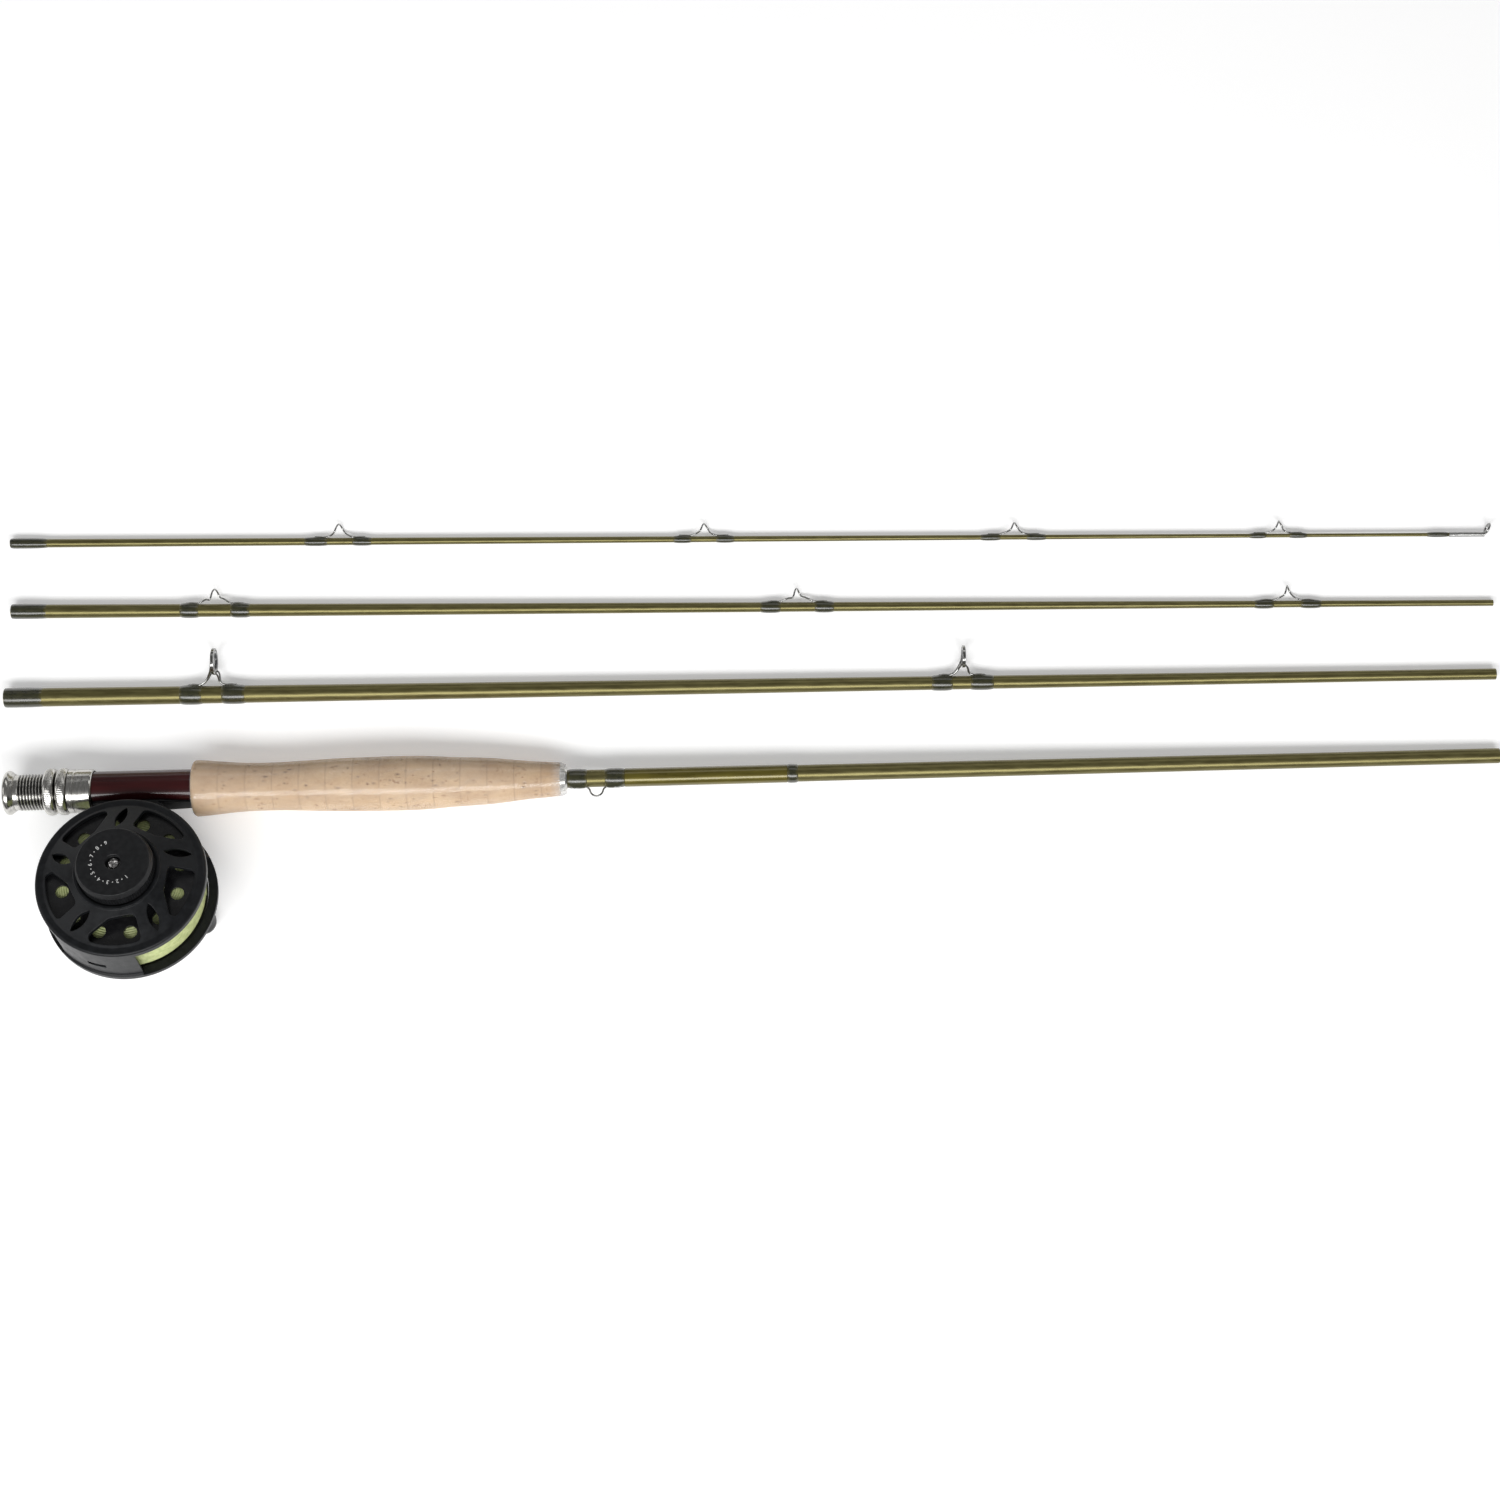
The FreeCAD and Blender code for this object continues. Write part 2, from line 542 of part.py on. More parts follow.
def tip_section():
    blank("tip", TIP)
    feet = [(153.7, 159.3, 165.9, 8.7), (330.3, 336.4, 342.2, 7.8), (480.2, 486.9, 492.8, 7.4),
            (609.2, 615.2, 620.3, 7.3)]
    spans = [(142.6, 153.7), (165.9, 175.1), (321.6, 330.3), (342.2, 351.1), (470.5, 480.2),
             (492.8, 502.3), (600.9, 609.2), (620.3, 629.0)]
    wraps("tip", TIP, "17.9", "tip_ferrule_wrap", spans + [(687.0, 697.9)], "fine_wrap_height")
    for letter, (start, apex, end, height) in zip("abcd", feet):
        snake_guide(f"tip_snake_guide_{letter}", "tip", TIP, start, apex, end, height)
    # the tip-top: a socket on the blank's end and a leaning ring for the line
    start, depth = 697.9, number("tip_length") - 697.9
    barrel = Part.makeCylinder(1.15, depth + 1.5, Vector(start, 0, 0), AXIS_X)
    barrel = barrel.cut(Part.makeCylinder(number("tip_thin"), depth, Vector(start, 0, 0), AXIS_X))
    eye = Part.makeTorus(2.6, 0.55)
    eye.Placement = Placement(Vector(716.2, 2.7, 0), Rotation(AXIS_Z, -24).multiply(Rotation(AXIS_Y, 90)))
    set_shape("tip_top", TIP, barrel.fuse(eye))


# ---------------------------------------------------------------------------------------------------
# Reel

PIN_ANGLES = (90, 210, 330)
# the angles between which the cage's wall is open, from the reel's +X
CAGE_OPENINGS = [(-77.5, 28), (42, 60), (120, 156), (172, 223)]


def reel_frame():
    """Cage in one casting: domed face with swirled windows, rim, wall with openings, rear ring."""
    body = new_body("frame_casting", REEL)
    parts.remove(body)
    slope = "(hub_front - rim_front) / (rim_inner + 0.2 - hub_radius)"
    revolve(body, "frame_casting", [[
        ("rear_inner", "rear_back"), ("rear_radius", "rear_back"), ("rear_radius", "rear_front + 0.6"),
        ("rim_radius", "rear_front + 1.2"), ("rim_radius", "rim_front"), ("rim_inner + 0.2", "rim_front"),
        ("hub_radius", "hub_front"), ("hub_radius - 0.3", "lip_front"), ("lip_inner", "lip_front"),
        ("lip_inner", "hub_floor"), ("spindle_seat", "hub_floor"), ("spindle_seat", "boss_under"),
        ("boss_radius", "boss_under"), ("boss_radius", "hub_under"),
        (f"rim_inner - (hub_under - shell_inner_front) / ({slope})", "hub_under"),
        ("rim_inner", "shell_inner_front"), ("rim_inner", "rim_back"), ("wall_inner", "rim_back"),
        ("wall_inner", "rear_front"), ("rear_inner", "rear_front"),
    ]], about_z=True)
    rim, front = number("rim_radius"), number("rim_front")
    round_edges(body, "rim_rounding", "1.4", lambda edge: is_circle(edge, rim, "z", front))
    rear, back = number("rear_radius"), number("rear_back")
    round_edges(body, "rear_rounding", "1.2", lambda edge: is_circle(edge, rear, "z", back))
    for i, (start, end) in enumerate(CAGE_OPENINGS):
        def wedge(sketch):
            outline(sketch, [spot("opening_inner", start), spot("opening_inner", end),
                             spot("opening_outer", end), spot("opening_outer * 1.35", (start + end) / 2),
                             spot("opening_outer", start)])

        pocket(body, f"cage_opening_{i}", wedge, "rim_back - rear_front", offset="rim_back")

    def block(sketch):
        outline(sketch, rectangle("-block_half", "block_half", "-block_half_depth", "block_half_depth"))

    pad(body, "foot_block", block, "block_top - block_bottom", "XZ_Plane", "-block_top")
    for side in (-1, 1):
        pocket(body, f"foot_screw_hole_{'left' if side < 0 else 'right'}",
               lambda sketch: circle(sketch, "foot_hole", f"{side} * foot_screw_spacing / 2"),
               "8", "XZ_Plane", "-block_top - 1", flip=True)

    def pin_holes(sketch):
        for angle in PIN_ANGLES:
            circle(sketch, "push_pin + shaft_clearance", *spot("pin_circle", angle))

    pocket(body, "push_pin_holes", pin_holes, "6", offset="hub_floor + 1")
    return body


def window_cutters():
    """Five swirled windows: an arc outside, a chord inside, one blunt end and one drawn-out tip."""
    outline_sketch = doc.addObject("Sketcher::SketchObject", "window_outline")
    outer = number("window_outer")
    high, low = number("window_outer_blunt"), number("window_tip")
    near = Vector(number("window_inner"), number("window_blunt"), 0)
    waist = Vector(number("window_waist"), -number("window_waist_drop"), 0)
    far = Vector(math.sqrt(outer ** 2 - high ** 2), high, 0)
    tip = Vector(math.sqrt(outer ** 2 - low ** 2), low, 0)
    outline_sketch.addGeometry(Part.LineSegment(near, far), False)
    rim = Part.Circle(Vector(), AXIS_Z, outer)
    arc = Part.ArcOfCircle(rim, math.atan2(low, tip.x), math.atan2(high, far.x))
    outline_sketch.addGeometry(arc, False)
    outline_sketch.addGeometry(Part.LineSegment(tip, waist), False)
    outline_sketch.addGeometry(Part.LineSegment(waist, near), False)
    for first, end, second, start in ((0, 2, 1, 2), (1, 1, 2, 1), (2, 2, 3, 1), (3, 2, 0, 1), (1, 3, -1, 1)):
        outline_sketch.addConstraint(Sketcher.Constraint("Coincident", first, end, second, start))
    held = outline_sketch.addConstraint(Sketcher.Constraint("Radius", 1, outer))
    outline_sketch.setExpression(f"Constraints[{held}]", "Sizes.window_outer")
    pin_point(outline_sketch, 0, 1, "window_inner", "window_blunt")
    pin_point(outline_sketch, 3, 1, "window_waist", "-window_waist_drop")
    for edge, end, alias in ((0, 2, "window_outer_blunt"), (2, 1, "window_tip")):
        height = Sketcher.Constraint("DistanceY", -1, 1, edge, end, number(alias))
        held = outline_sketch.addConstraint(height)
        outline_sketch.setExpression(f"Constraints[{held}]", cells(alias))
    cutters = []
    for k in range(5):
        prism = doc.addObject("Part::Extrusion", f"window_prism_{k}")
        prism.Base = outline_sketch
        prism.DirMode = "Custom"
        prism.Dir = AXIS_Z
        prism.LengthFwd = 40
        prism.Solid = True
        prism.Placement = Placement(Vector(), Rotation(AXIS_Z, 72 * k))
        doc.recompute()
        corner = number("window_corner")
        cutter = doc.addObject("Part::Fillet", f"window_cutter_{k}")
        cutter.Base = prism
        cutter.Edges = [(n, corner, corner) for n, edge in enumerate(prism.Shape.Edges, 1)
                        if abs(edge.Vertexes[0].Z - edge.Vertexes[-1].Z) > 1]
        cutters.append(cutter)
    return cutters


def slot_cutters():
    """Five leaf-shaped slots between the windows, leaning a little from the radius."""
    half = number("slot_half_width")
    leaf = doc.addObject("Sketcher::SketchObject", "slot_outline")
    ends = []
    for radius, angle in ((number("slot_inner"), 24.6), (number("slot_outer"), 16.6)):
        turn = math.radians(angle)
        ends.append(Vector(radius * math.cos(turn), radius * math.sin(turn), 0))
    middle = (ends[0] + ends[1]) * 0.5
    across = Vector(-(ends[1] - ends[0]).y, (ends[1] - ends[0]).x, 0).normalize()
    for side in (-1, 1):
        leaf.addGeometry(Part.Arc(ends[0], middle + across * half * side, ends[1]), False)
    doc.recompute()
    cutters = []
    for k in range(5):
        prism = doc.addObject("Part::Extrusion", f"slot_prism_{k}")
        prism.Base = leaf
        prism.DirMode = "Custom"
        prism.Dir = AXIS_Z
        prism.LengthFwd = 40
        prism.Solid = True
        prism.Placement = Placement(Vector(), Rotation(AXIS_Z, 72 * k))
        cutters.append(prism)
    return cutters


def wall_slot():
    """The long slot through the middle of the cage's solid wall."""
    slot = doc.addObject("Part::Box", "wall_slot")
    slot.Length, slot.Width, slot.Height = 9, 8, 3.0
    turn = Rotation(AXIS_Z, 253.8 - 270)
    slot.Placement = Placement(turn.multVec(Vector(-4.5, -44, -1.8)), turn)
    return slot


def frame_with_windows():
    casting = reel_frame()
    tools = doc.addObject("Part::MultiFuse", "frame_cutters")
    tools.Shapes = window_cutters() + slot_cutters() + [wall_slot()]
    frame = doc.addObject("Part::Cut", "reel_frame")
    casting.Placement = Placement()
    frame.Base = casting
    frame.Tool = tools
    keep(frame, "reel_frame", REEL)


def foot():
    body = new_body("reel_foot", REEL)

    def plan(sketch):
        outline(sketch, [
            ("-foot_left", "-toe_half_width + 1"), ("-foot_left + 1.2", "-toe_half_width"),
            ("-foot_body_half", "-foot_half_width"), ("foot_body_half", "-foot_half_width"),
            ("foot_right - 1.2", "-toe_half_width"), ("foot_right", "-toe_half_width + 1"),
            ("foot_right", "toe_half_width - 1"), ("foot_right - 1.2", "toe_half_width"),
            ("foot_body_half", "foot_half_width"), ("-foot_body_half", "foot_half_width"),
            ("-foot_left + 1.2", "toe_half_width"), ("-foot_left", "toe_half_width - 1")])

    pad(body, "foot_plate", plan, "foot_top - foot_under", "XZ_Plane", "-foot_top")

    def stem(sketch):
        outline(sketch, rectangle("-foot_body_half + 1", "foot_body_half - 1", "-foot_half_width",
                                  "foot_half_width"))

    pad(body, "foot_stem", stem, "foot_top - block_top - 0.5", "XZ_Plane", "-foot_top + 0.5")

    def screw_holes(sketch):
        for side in (-1, 1):
            circle(sketch, "foot_hole", f"{side} * foot_screw_spacing / 2")

    pocket(body, "foot_screw_holes", screw_holes, "2.2", "XZ_Plane", "-block_top")
    screws = doc.addObject("Part::MultiFuse", "foot_screws")
    pieces = []
    for side in (-1, 1):
        across = side * number("foot_screw_spacing") / 2
        shank = doc.addObject("Part::Cylinder", "foot_screw_shank")
        shank.setExpression("Radius", "Sizes.foot_hole")
        shank.Height = 5.2
        shank.Placement = Placement(Vector(across, 37.5, 0), Rotation(AXIS_X, -90))
        head = doc.addObject("Part::Cylinder", "foot_screw_head")
        head.Radius, head.Height = 2.4, 0.9
        head.Placement = Placement(Vector(across, 36.6, 0), Rotation(AXIS_X, -90))
        pieces += [shank, head]
    screws.Shapes = pieces
    keep(screws, "foot_screws", REEL)


def spindle_and_drag():
    shaft, gap = "shaft_radius", "shaft_radius + shaft_clearance"
    turned("spindle", REEL, [
        ("0", "shaft_back"), ("shaft_radius - 0.6", "shaft_back"), (shaft, "shaft_back + 0.6"),
        (shaft, "groove_back"), ("groove_radius", "groove_back"), ("groove_radius", "groove_front"),
        (shaft, "groove_front"), (shaft, "boss_under"), ("spindle_seat", "boss_under"),
        ("spindle_seat", "hub_floor"), (shaft, "hub_floor"), (shaft, "shaft_front"), ("0", "shaft_front"),
    ], about_z=True)
    turned("knob_screw", REEL, [
        ("0", "shaft_front"), ("1.5", "shaft_front"), ("1.5", "knob_well_floor + 0.1"),
        ("2.7", "knob_well_floor + 0.1"), ("2.7", "knob_well_floor + 0.9"),
        ("1.9", "knob_well_floor + 1.4"), ("0", "knob_well_floor + 1.6")], about_z=True)
    turned("drag_knob", REEL, [
        (gap, "knob_roof - 0.6"), ("knob_skirt_inner", "knob_roof - 0.6"), ("knob_skirt_inner", "knob_base"),
        ("knob_radius - 0.4", "knob_base"), ("knob_radius", "knob_base + 0.4"),
        ("knob_radius", "knob_shoulder"), ("knob_face_radius + 0.4", "knob_front - 0.5"),
        ("knob_face_radius - 0.2", "knob_front"), ("knob_well", "knob_front"),
        ("knob_well", "knob_well_floor"), (gap, "knob_well_floor")], about_z=True)
    nut = doc.addObject("Part::Prism", "nut_hexagon")
    nut.Polygon = 6
    nut.setExpression("Circumradius", cells("nut_flat / 0.8660254"))
    nut.setExpression("Height", cells("nut_front - nut_back"))
    nut.Placement.Base.z = number("nut_back")
    core = doc.addObject("Part::Cylinder", "nut_core")
    core.setExpression("Radius", cells(gap))
    core.Height = 60
    core.Placement.Base.z = -10
    drilled = doc.addObject("Part::Cut", "drag_nut")
    drilled.Base, drilled.Tool = nut, core
    keep(drilled, "drag_nut", REEL)
    turned("drag_springs", REEL,
           [(gap + " + 0.4", "spring_back + 0.65"), (gap + " + 0.4", "spring_back + 0.2"),
            ("spring_radius", "spring_back"), ("spring_radius", "spring_back + 0.45")],
           [(gap + " + 0.4", "spring_front - 0.2"), (gap + " + 0.4", "spring_front - 0.65"),
            ("spring_radius", "spring_front - 0.45"), ("spring_radius", "spring_front")],
           about_z=True)
    turned("thrust_washer", REEL, ring(gap, "washer_radius", "washer_back", "washer_front"), about_z=True)
    pins = new_body("push_pins", REEL)

    def three(sketch):
        for angle in PIN_ANGLES:
            circle(sketch, "push_pin", *spot("pin_circle", angle))

    pad(pins, "push_pins_length", three, "washer_back - plate_front", offset="plate_front")
    turned("pressure_plate", REEL, ring("spindle_seat + 0.3", "plate_radius", "plate_back", "plate_front"),
           about_z=True)
    turned("friction_disc", REEL, ring("disc_inner", "disc_radius", "disc_back", "plate_back"), about_z=True)
    rotor = turned("brake_rotor", REEL, [
        (gap, "sleeve_back"), ("sleeve_radius", "sleeve_back"), ("sleeve_radius", "rotor_back"),
        ("tooth_root", "rotor_back"), ("tooth_root", "rotor_front"), (gap, "rotor_front")], about_z=True)

    def tooth(sketch):
        outline(sketch, [("tooth_root - 0.5", "-1.1"), ("tooth_tip", "-0.45"), ("tooth_tip", "0.45"),
                         ("tooth_root - 0.5", "1.1")])

    first = pad(rotor, "click_tooth", tooth, "rotor_front - rotor_back", offset="rotor_back")
    polar(rotor, "click_teeth", [first], int(number("tooth_count")))


def clicker():
    """The pawl drops its nose between two teeth and is held there by a leaf spring."""
    pivot = Vector(number("pawl_pivot_radius"), 0, 0)
    half_pitch = 180 / number("tooth_count")
    place = REEL.multiply(Placement(Vector(), Rotation(AXIS_Z, 90 + half_pitch)))
    low, high = number("rotor_back") + 0.2, number("rotor_front") - 0.2
    nose = Part.makePolygon([pivot + Vector(*point, 0) for point in (
        (-4.6, -0.3), (-4.6, 0.3), (-2.2, 1.0), (0, 2.1), (2.0, 1.0), (2.2, -1.0), (0, -2.1), (-2.2, -1.0),
        (-4.6, -0.3))])
    lever = Part.Face(nose).extrude(Vector(0, 0, high - low))
    lever.translate(Vector(0, 0, low))
    hole = Part.makeCylinder(number("pawl_pin") + 0.06, 10, pivot + Vector(0, 0, low - 2), AXIS_Z)
    set_shape("click_pawl", place, lever.cut(hole))
    pin = Part.makeCylinder(number("pawl_pin"), 7.9, pivot + Vector(0, 0, 12.5), AXIS_Z)
    set_shape("pawl_pin", place, pin)
    leaf = Part.makeBox(0.4, 7.0, 1.2, pivot + Vector(2.8, -3.5, 13.0))
    stand = Part.makeBox(1.6, 1.6, 5.2, pivot + Vector(2.8, -5.1, 13.0))
    set_shape("pawl_spring", place, leaf.fuse(stand))


def spool():
    """Front flange with a ring of round ports, drum, web, rear flange that carries the handle."""
    body = turned("spool", REEL, [
        ("spool_hub_bore", "hub_boss_back"), ("spool_rear_radius", "spool_rear"),
        ("spool_rear_radius", "spool_rear_in"), ("arbor_radius", "spool_rear_in"),
        ("arbor_radius", "spool_front_in"), ("spool_front_radius", "spool_front_in"),
        ("spool_front_radius", "spool_front"), ("arbor_inner", "spool_front"),
        ("arbor_inner", "spool_rear_in"), ("spool_hub", "spool_rear_in"), ("spool_hub", "spool_front"),
        ("spool_hub_bore", "spool_front"),
    ], about_z=True)

    def port(sketch):
        circle(sketch, "port_radius", *spot("port_circle", number("port_phase")))

    cut = pocket(body, "port", port, "2.2", offset="spool_front + 0.5")
    polar(body, "ports", [cut], int(number("port_count")))
    turned("fly_line", REEL, ring("arbor_radius", "line_radius", "spool_rear_in", "spool_front_in"),
           about_z=True)
    turned("one_way_clutch", REEL, ring("sleeve_radius + shaft_clearance", "spool_hub_bore", "clutch_back",
                                        "clutch_front"), about_z=True)
    turned("spool_bushing", REEL, ring("shaft_radius + shaft_clearance", "spool_hub_bore", "bush_back",
                                       "bush_front"), about_z=True)
    turned("counterweight", REEL.multiply(Placement(Vector(-number("handle_x"), -number("handle_y"), 0),
                                                    Rotation())), [
        ("0", "counterweight_back"), ("counterweight_radius - 0.8", "counterweight_back"),
        ("counterweight_radius", "counterweight_back + 0.8"), ("counterweight_radius", "spool_rear"),
        ("0", "spool_rear")], about_z=True)


def spool_latch():
    """A keyhole plate that slides across the spindle's groove, under a cover on the spool's back."""
    half, front, back = (number(f"latch_{word}") for word in ("half_width", "front", "back"))
    travel, groove, shaft = number("latch_travel"), number("groove_radius"), number("shaft_radius")
    plate = Part.makeBox(18.0, 2 * half, front - back, Vector(-5.5, -half, back))
    neck = Part.makeCylinder(groove + 0.1, 4, Vector(0, 0, back - 1), AXIS_Z)
    eye = Part.makeCylinder(shaft + 0.3, 4, Vector(travel, 0, back - 1), AXIS_Z)
    button = Part.makeBox(2.5, 2 * half, 2.2, Vector(12.5, -half, back - 1.5))
    set_shape("spool_latch", REEL, plate.cut(neck.fuse(eye)).fuse(button).removeSplitter())
    coil = Part.makeCylinder(0.7, 3.2, Vector(-10.6, 0, (front + back) / 2), AXIS_X)
    coil = coil.cut(Part.makeCylinder(0.4, 3.2, Vector(-10.6, 0, (front + back) / 2), AXIS_X))
    set_shape("latch_spring", REEL, coil)
    cover_radius, cover_back, roof = (number(f"cover_{word}") for word in ("radius", "back", "roof"))
    face = number("spool_rear")
    shell = Part.makeCylinder(cover_radius, face - cover_back, Vector(0, 0, cover_back), AXIS_Z)
    shell = shell.makeFillet(1.6, [edge for edge in shell.Edges if isinstance(edge.Curve, Part.Circle)
                                   and edge.Curve.Center.z < cover_back + 0.1])
    hollow = Part.makeCylinder(cover_radius - 1.4, face - roof, Vector(0, 0, roof), AXIS_Z)
    mouth = Part.makeBox(8, 2 * half + 0.6, face - roof, Vector(9.0, -half - 0.3, roof))
    set_shape("latch_cover", REEL, shell.cut(hollow).cut(mouth))


def handle():
    turned("handle_pin", HANDLE, [
        ("0", "handle_end + 0.7"), ("3.4", "handle_end + 0.7"), ("3.4", "handle_end + 1.5"),
        ("handle_pin", "handle_end + 1.5"), ("handle_pin", "spool_rear"), ("0", "spool_rear")], about_z=True)
    turned("handle_knob", HANDLE, [
        ("handle_pin + 0.06", "handle_foot"), ("handle_radius - 1.1", "handle_foot"),
        ("handle_radius - 0.9", "handle_foot - 1.5"), ("handle_radius - 1.7", "handle_foot - 6"),
        ("handle_radius - 1.3", "handle_foot - 12"), ("handle_radius - 0.4", "handle_foot - 18"),
        ("handle_radius", "handle_foot - 22"), ("handle_radius - 0.3", "handle_end + 2.4"),
        ("handle_radius - 1.0", "handle_end + 0.9"), ("handle_radius - 2.2", "handle_end"),
        ("3.7", "handle_end"), ("3.7", "handle_end + 1.8"), ("handle_pin + 0.06", "handle_end + 1.8"),
    ], about_z=True)


def set_down():
    """Moves the whole so that the origin lies on the table below the middle of its box."""
    doc.recompute()
    whole = FreeCAD.BoundBox()
    for feature in parts:
        whole.add(feature.Shape.optimalBoundingBox(True, False))
    shift = Vector(-whole.Center.x, -whole.Center.y, -whole.ZMin)
    for feature in parts:
        feature.Placement = Placement(shift, Rotation()).multiply(feature.Placement)
    return shift


def check_and_write():
    doc.recompute()
    for item in doc.Objects:
        if set(item.State) & {"Invalid", "Error"}:
            raise RuntimeError(f"{item.Label} is {item.State}")
    os.makedirs("parts", exist_ok=True)
    for feature in parts:
        shape = feature.Shape
        if shape.isNull() or not shape.isValid() or not shape.Solids:
            raise RuntimeError(f"{feature.Label} has no sound solid")
        shape.exportStep(f"parts/{feature.Label}.step")


butt_section()
reel_seat()
grip()
lower_section()
upper_section()
tip_section()
frame_with_windows()
foot()
spindle_and_drag()
clicker()
spool()
spool_latch()
handle()
SHIFT = set_down()
check_and_write()
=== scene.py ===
import json
import math
import random

import bmesh
import bpy
from mathutils import Matrix, Vector


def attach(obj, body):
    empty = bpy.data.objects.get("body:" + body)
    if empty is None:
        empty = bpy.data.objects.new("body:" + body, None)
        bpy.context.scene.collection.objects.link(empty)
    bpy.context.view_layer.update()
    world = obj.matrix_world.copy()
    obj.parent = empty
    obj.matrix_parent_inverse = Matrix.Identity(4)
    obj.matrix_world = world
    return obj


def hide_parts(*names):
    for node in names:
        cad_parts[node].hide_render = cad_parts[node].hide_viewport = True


# The looks of a fly rod and reel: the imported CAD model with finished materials, and finer pieces for the
# thread wraps, the cork grip and its shrink film, the reel seat's turned metal, the knob and the line.
# Lengths are in millimetres until a mesh is made; every piece is placed from the CAD frame.

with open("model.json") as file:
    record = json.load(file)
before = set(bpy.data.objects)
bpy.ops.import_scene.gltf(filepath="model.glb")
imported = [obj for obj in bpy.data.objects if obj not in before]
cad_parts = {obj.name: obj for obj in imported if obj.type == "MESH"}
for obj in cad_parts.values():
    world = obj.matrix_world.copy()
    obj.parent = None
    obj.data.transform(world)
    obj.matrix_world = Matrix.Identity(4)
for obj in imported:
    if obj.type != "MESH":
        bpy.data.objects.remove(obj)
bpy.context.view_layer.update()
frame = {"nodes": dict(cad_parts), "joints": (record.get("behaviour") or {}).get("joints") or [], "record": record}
MM = 0.001
JOINTS = {joint["name"]: joint for joint in frame["joints"]}
MOUNTS = {mount["name"]: mount for mount in frame["record"]["mounts"]}


# ---------------------------------------------------------------------------------------------------
# Frames


def basis(origin, along, across):
    """A frame at origin whose X points along and whose Y points towards across."""
    x = along.normalized()
    z = x.cross(across).normalized()
    made = Matrix((x, z.cross(x), z)).transposed().to_4x4()
    made.translation = origin
    return made


def corners(node, place):
    """A CAD node's corners in a frame, in millimetres."""
    back = place.inverted()
    return [(back @ vertex.co) / MM for vertex in frame["nodes"][node].data.vertices]


def turned_size(node, place):
    """Where a turned node starts and ends along X, and its least and greatest radius."""
    points = corners(node, place)
    along = [point.x for point in points]
    radii = [math.hypot(point.y, point.z) for point in points]
    return min(along), max(along), min(radii), max(radii)


def rod_section(name, guide):
    """A section's frame: X from its socket to its thin end, Y towards its line guides."""
    socket = MOUNTS[f"{name}_socket"]
    along = -Vector(socket["axis"])
    origin = Vector(socket["pos_m"]) - along * socket["dims"]["length_mm"] * MM / 2
    points = [vertex.co - origin for vertex in frame["nodes"][guide].data.vertices]
    highest = max(points, key=lambda point: along.cross(point).length)
    return basis(origin, along, highest)


REEL_AXIS = Vector(JOINTS["spool_spin"]["axis"])
BUTT_AXIS = -Vector(MOUNTS["butt_end"]["axis"])
BUTT = basis(Vector(MOUNTS["butt_end"]["pos_m"]), BUTT_AXIS, REEL_AXIS.cross(BUTT_AXIS))
REEL = basis(Vector(JOINTS["spool_spin"]["pos_m"]), BUTT_AXIS, REEL_AXIS.cross(BUTT_AXIS))
LOWER = rod_section("lower", "large_guide_ring")
UPPER = rod_section("upper", "upper_snake_guide_a")
TIP = rod_section("tip", "tip_snake_guide_a")
# turns a lathe's X onto the reel's Z, and its Y onto the reel's X
UPRIGHT = Matrix(((0, 1, 0, 0), (0, 0, 1, 0), (1, 0, 0, 0), (0, 0, 0, 1)))
SPINDLE = REEL @ UPRIGHT


# ---------------------------------------------------------------------------------------------------
# Materials


def add(tree, kind, inputs=(), **settings):
    """Adds a shader node; inputs are pairs of a socket's name and a value or an output."""
    made = tree.nodes.new(f"ShaderNode{kind}")
    for name, value in settings.items():
        setattr(made, name, value)
    for socket, value in inputs:
        if isinstance(value, bpy.types.NodeSocket):
            tree.links.new(value, made.inputs[socket])
        else:
            made.inputs[socket].default_value = value
    return made


def ramp(tree, factor, *stops):
    """A colour ramp with (position, colour) stops."""
    made = add(tree, "ValToRGB", [("Fac", factor)])
    elements = made.color_ramp.elements
    while len(elements) < len(stops):
        elements.new(0.5)
    for element, (position, colour) in zip(elements, stops):
        element.position = position
        element.color = (*colour, 1)
    return made.outputs["Color"]


def mix(tree, factor, first, second):
    return add(tree, "MixRGB", [("Fac", factor), ("Color1", first), ("Color2", second)]).outputs["Color"]


def noise(tree, scale, stretch=(1, 1, 1), detail=5.0, roughness=0.55):
    """A noise over the piece's own coordinates; scale is in features per metre."""
    where = add(tree, "TexCoord").outputs["Object"]
    where = add(tree, "Mapping", [("Vector", where), ("Scale", stretch)]).outputs["Vector"]
    made = add(tree, "TexNoise", [("Vector", where), ("Scale", scale), ("Detail", detail),
                                  ("Roughness", roughness)])
    return made.outputs["Fac"]


def spread(tree, factor, low, high):
    """Maps the middle of a noise onto a range."""
    made = add(tree, "MapRange", [("Value", factor), ("From Min", 0.3), ("From Max", 0.7), ("To Min", low),
                                  ("To Max", high)])
    return made.outputs["Result"]


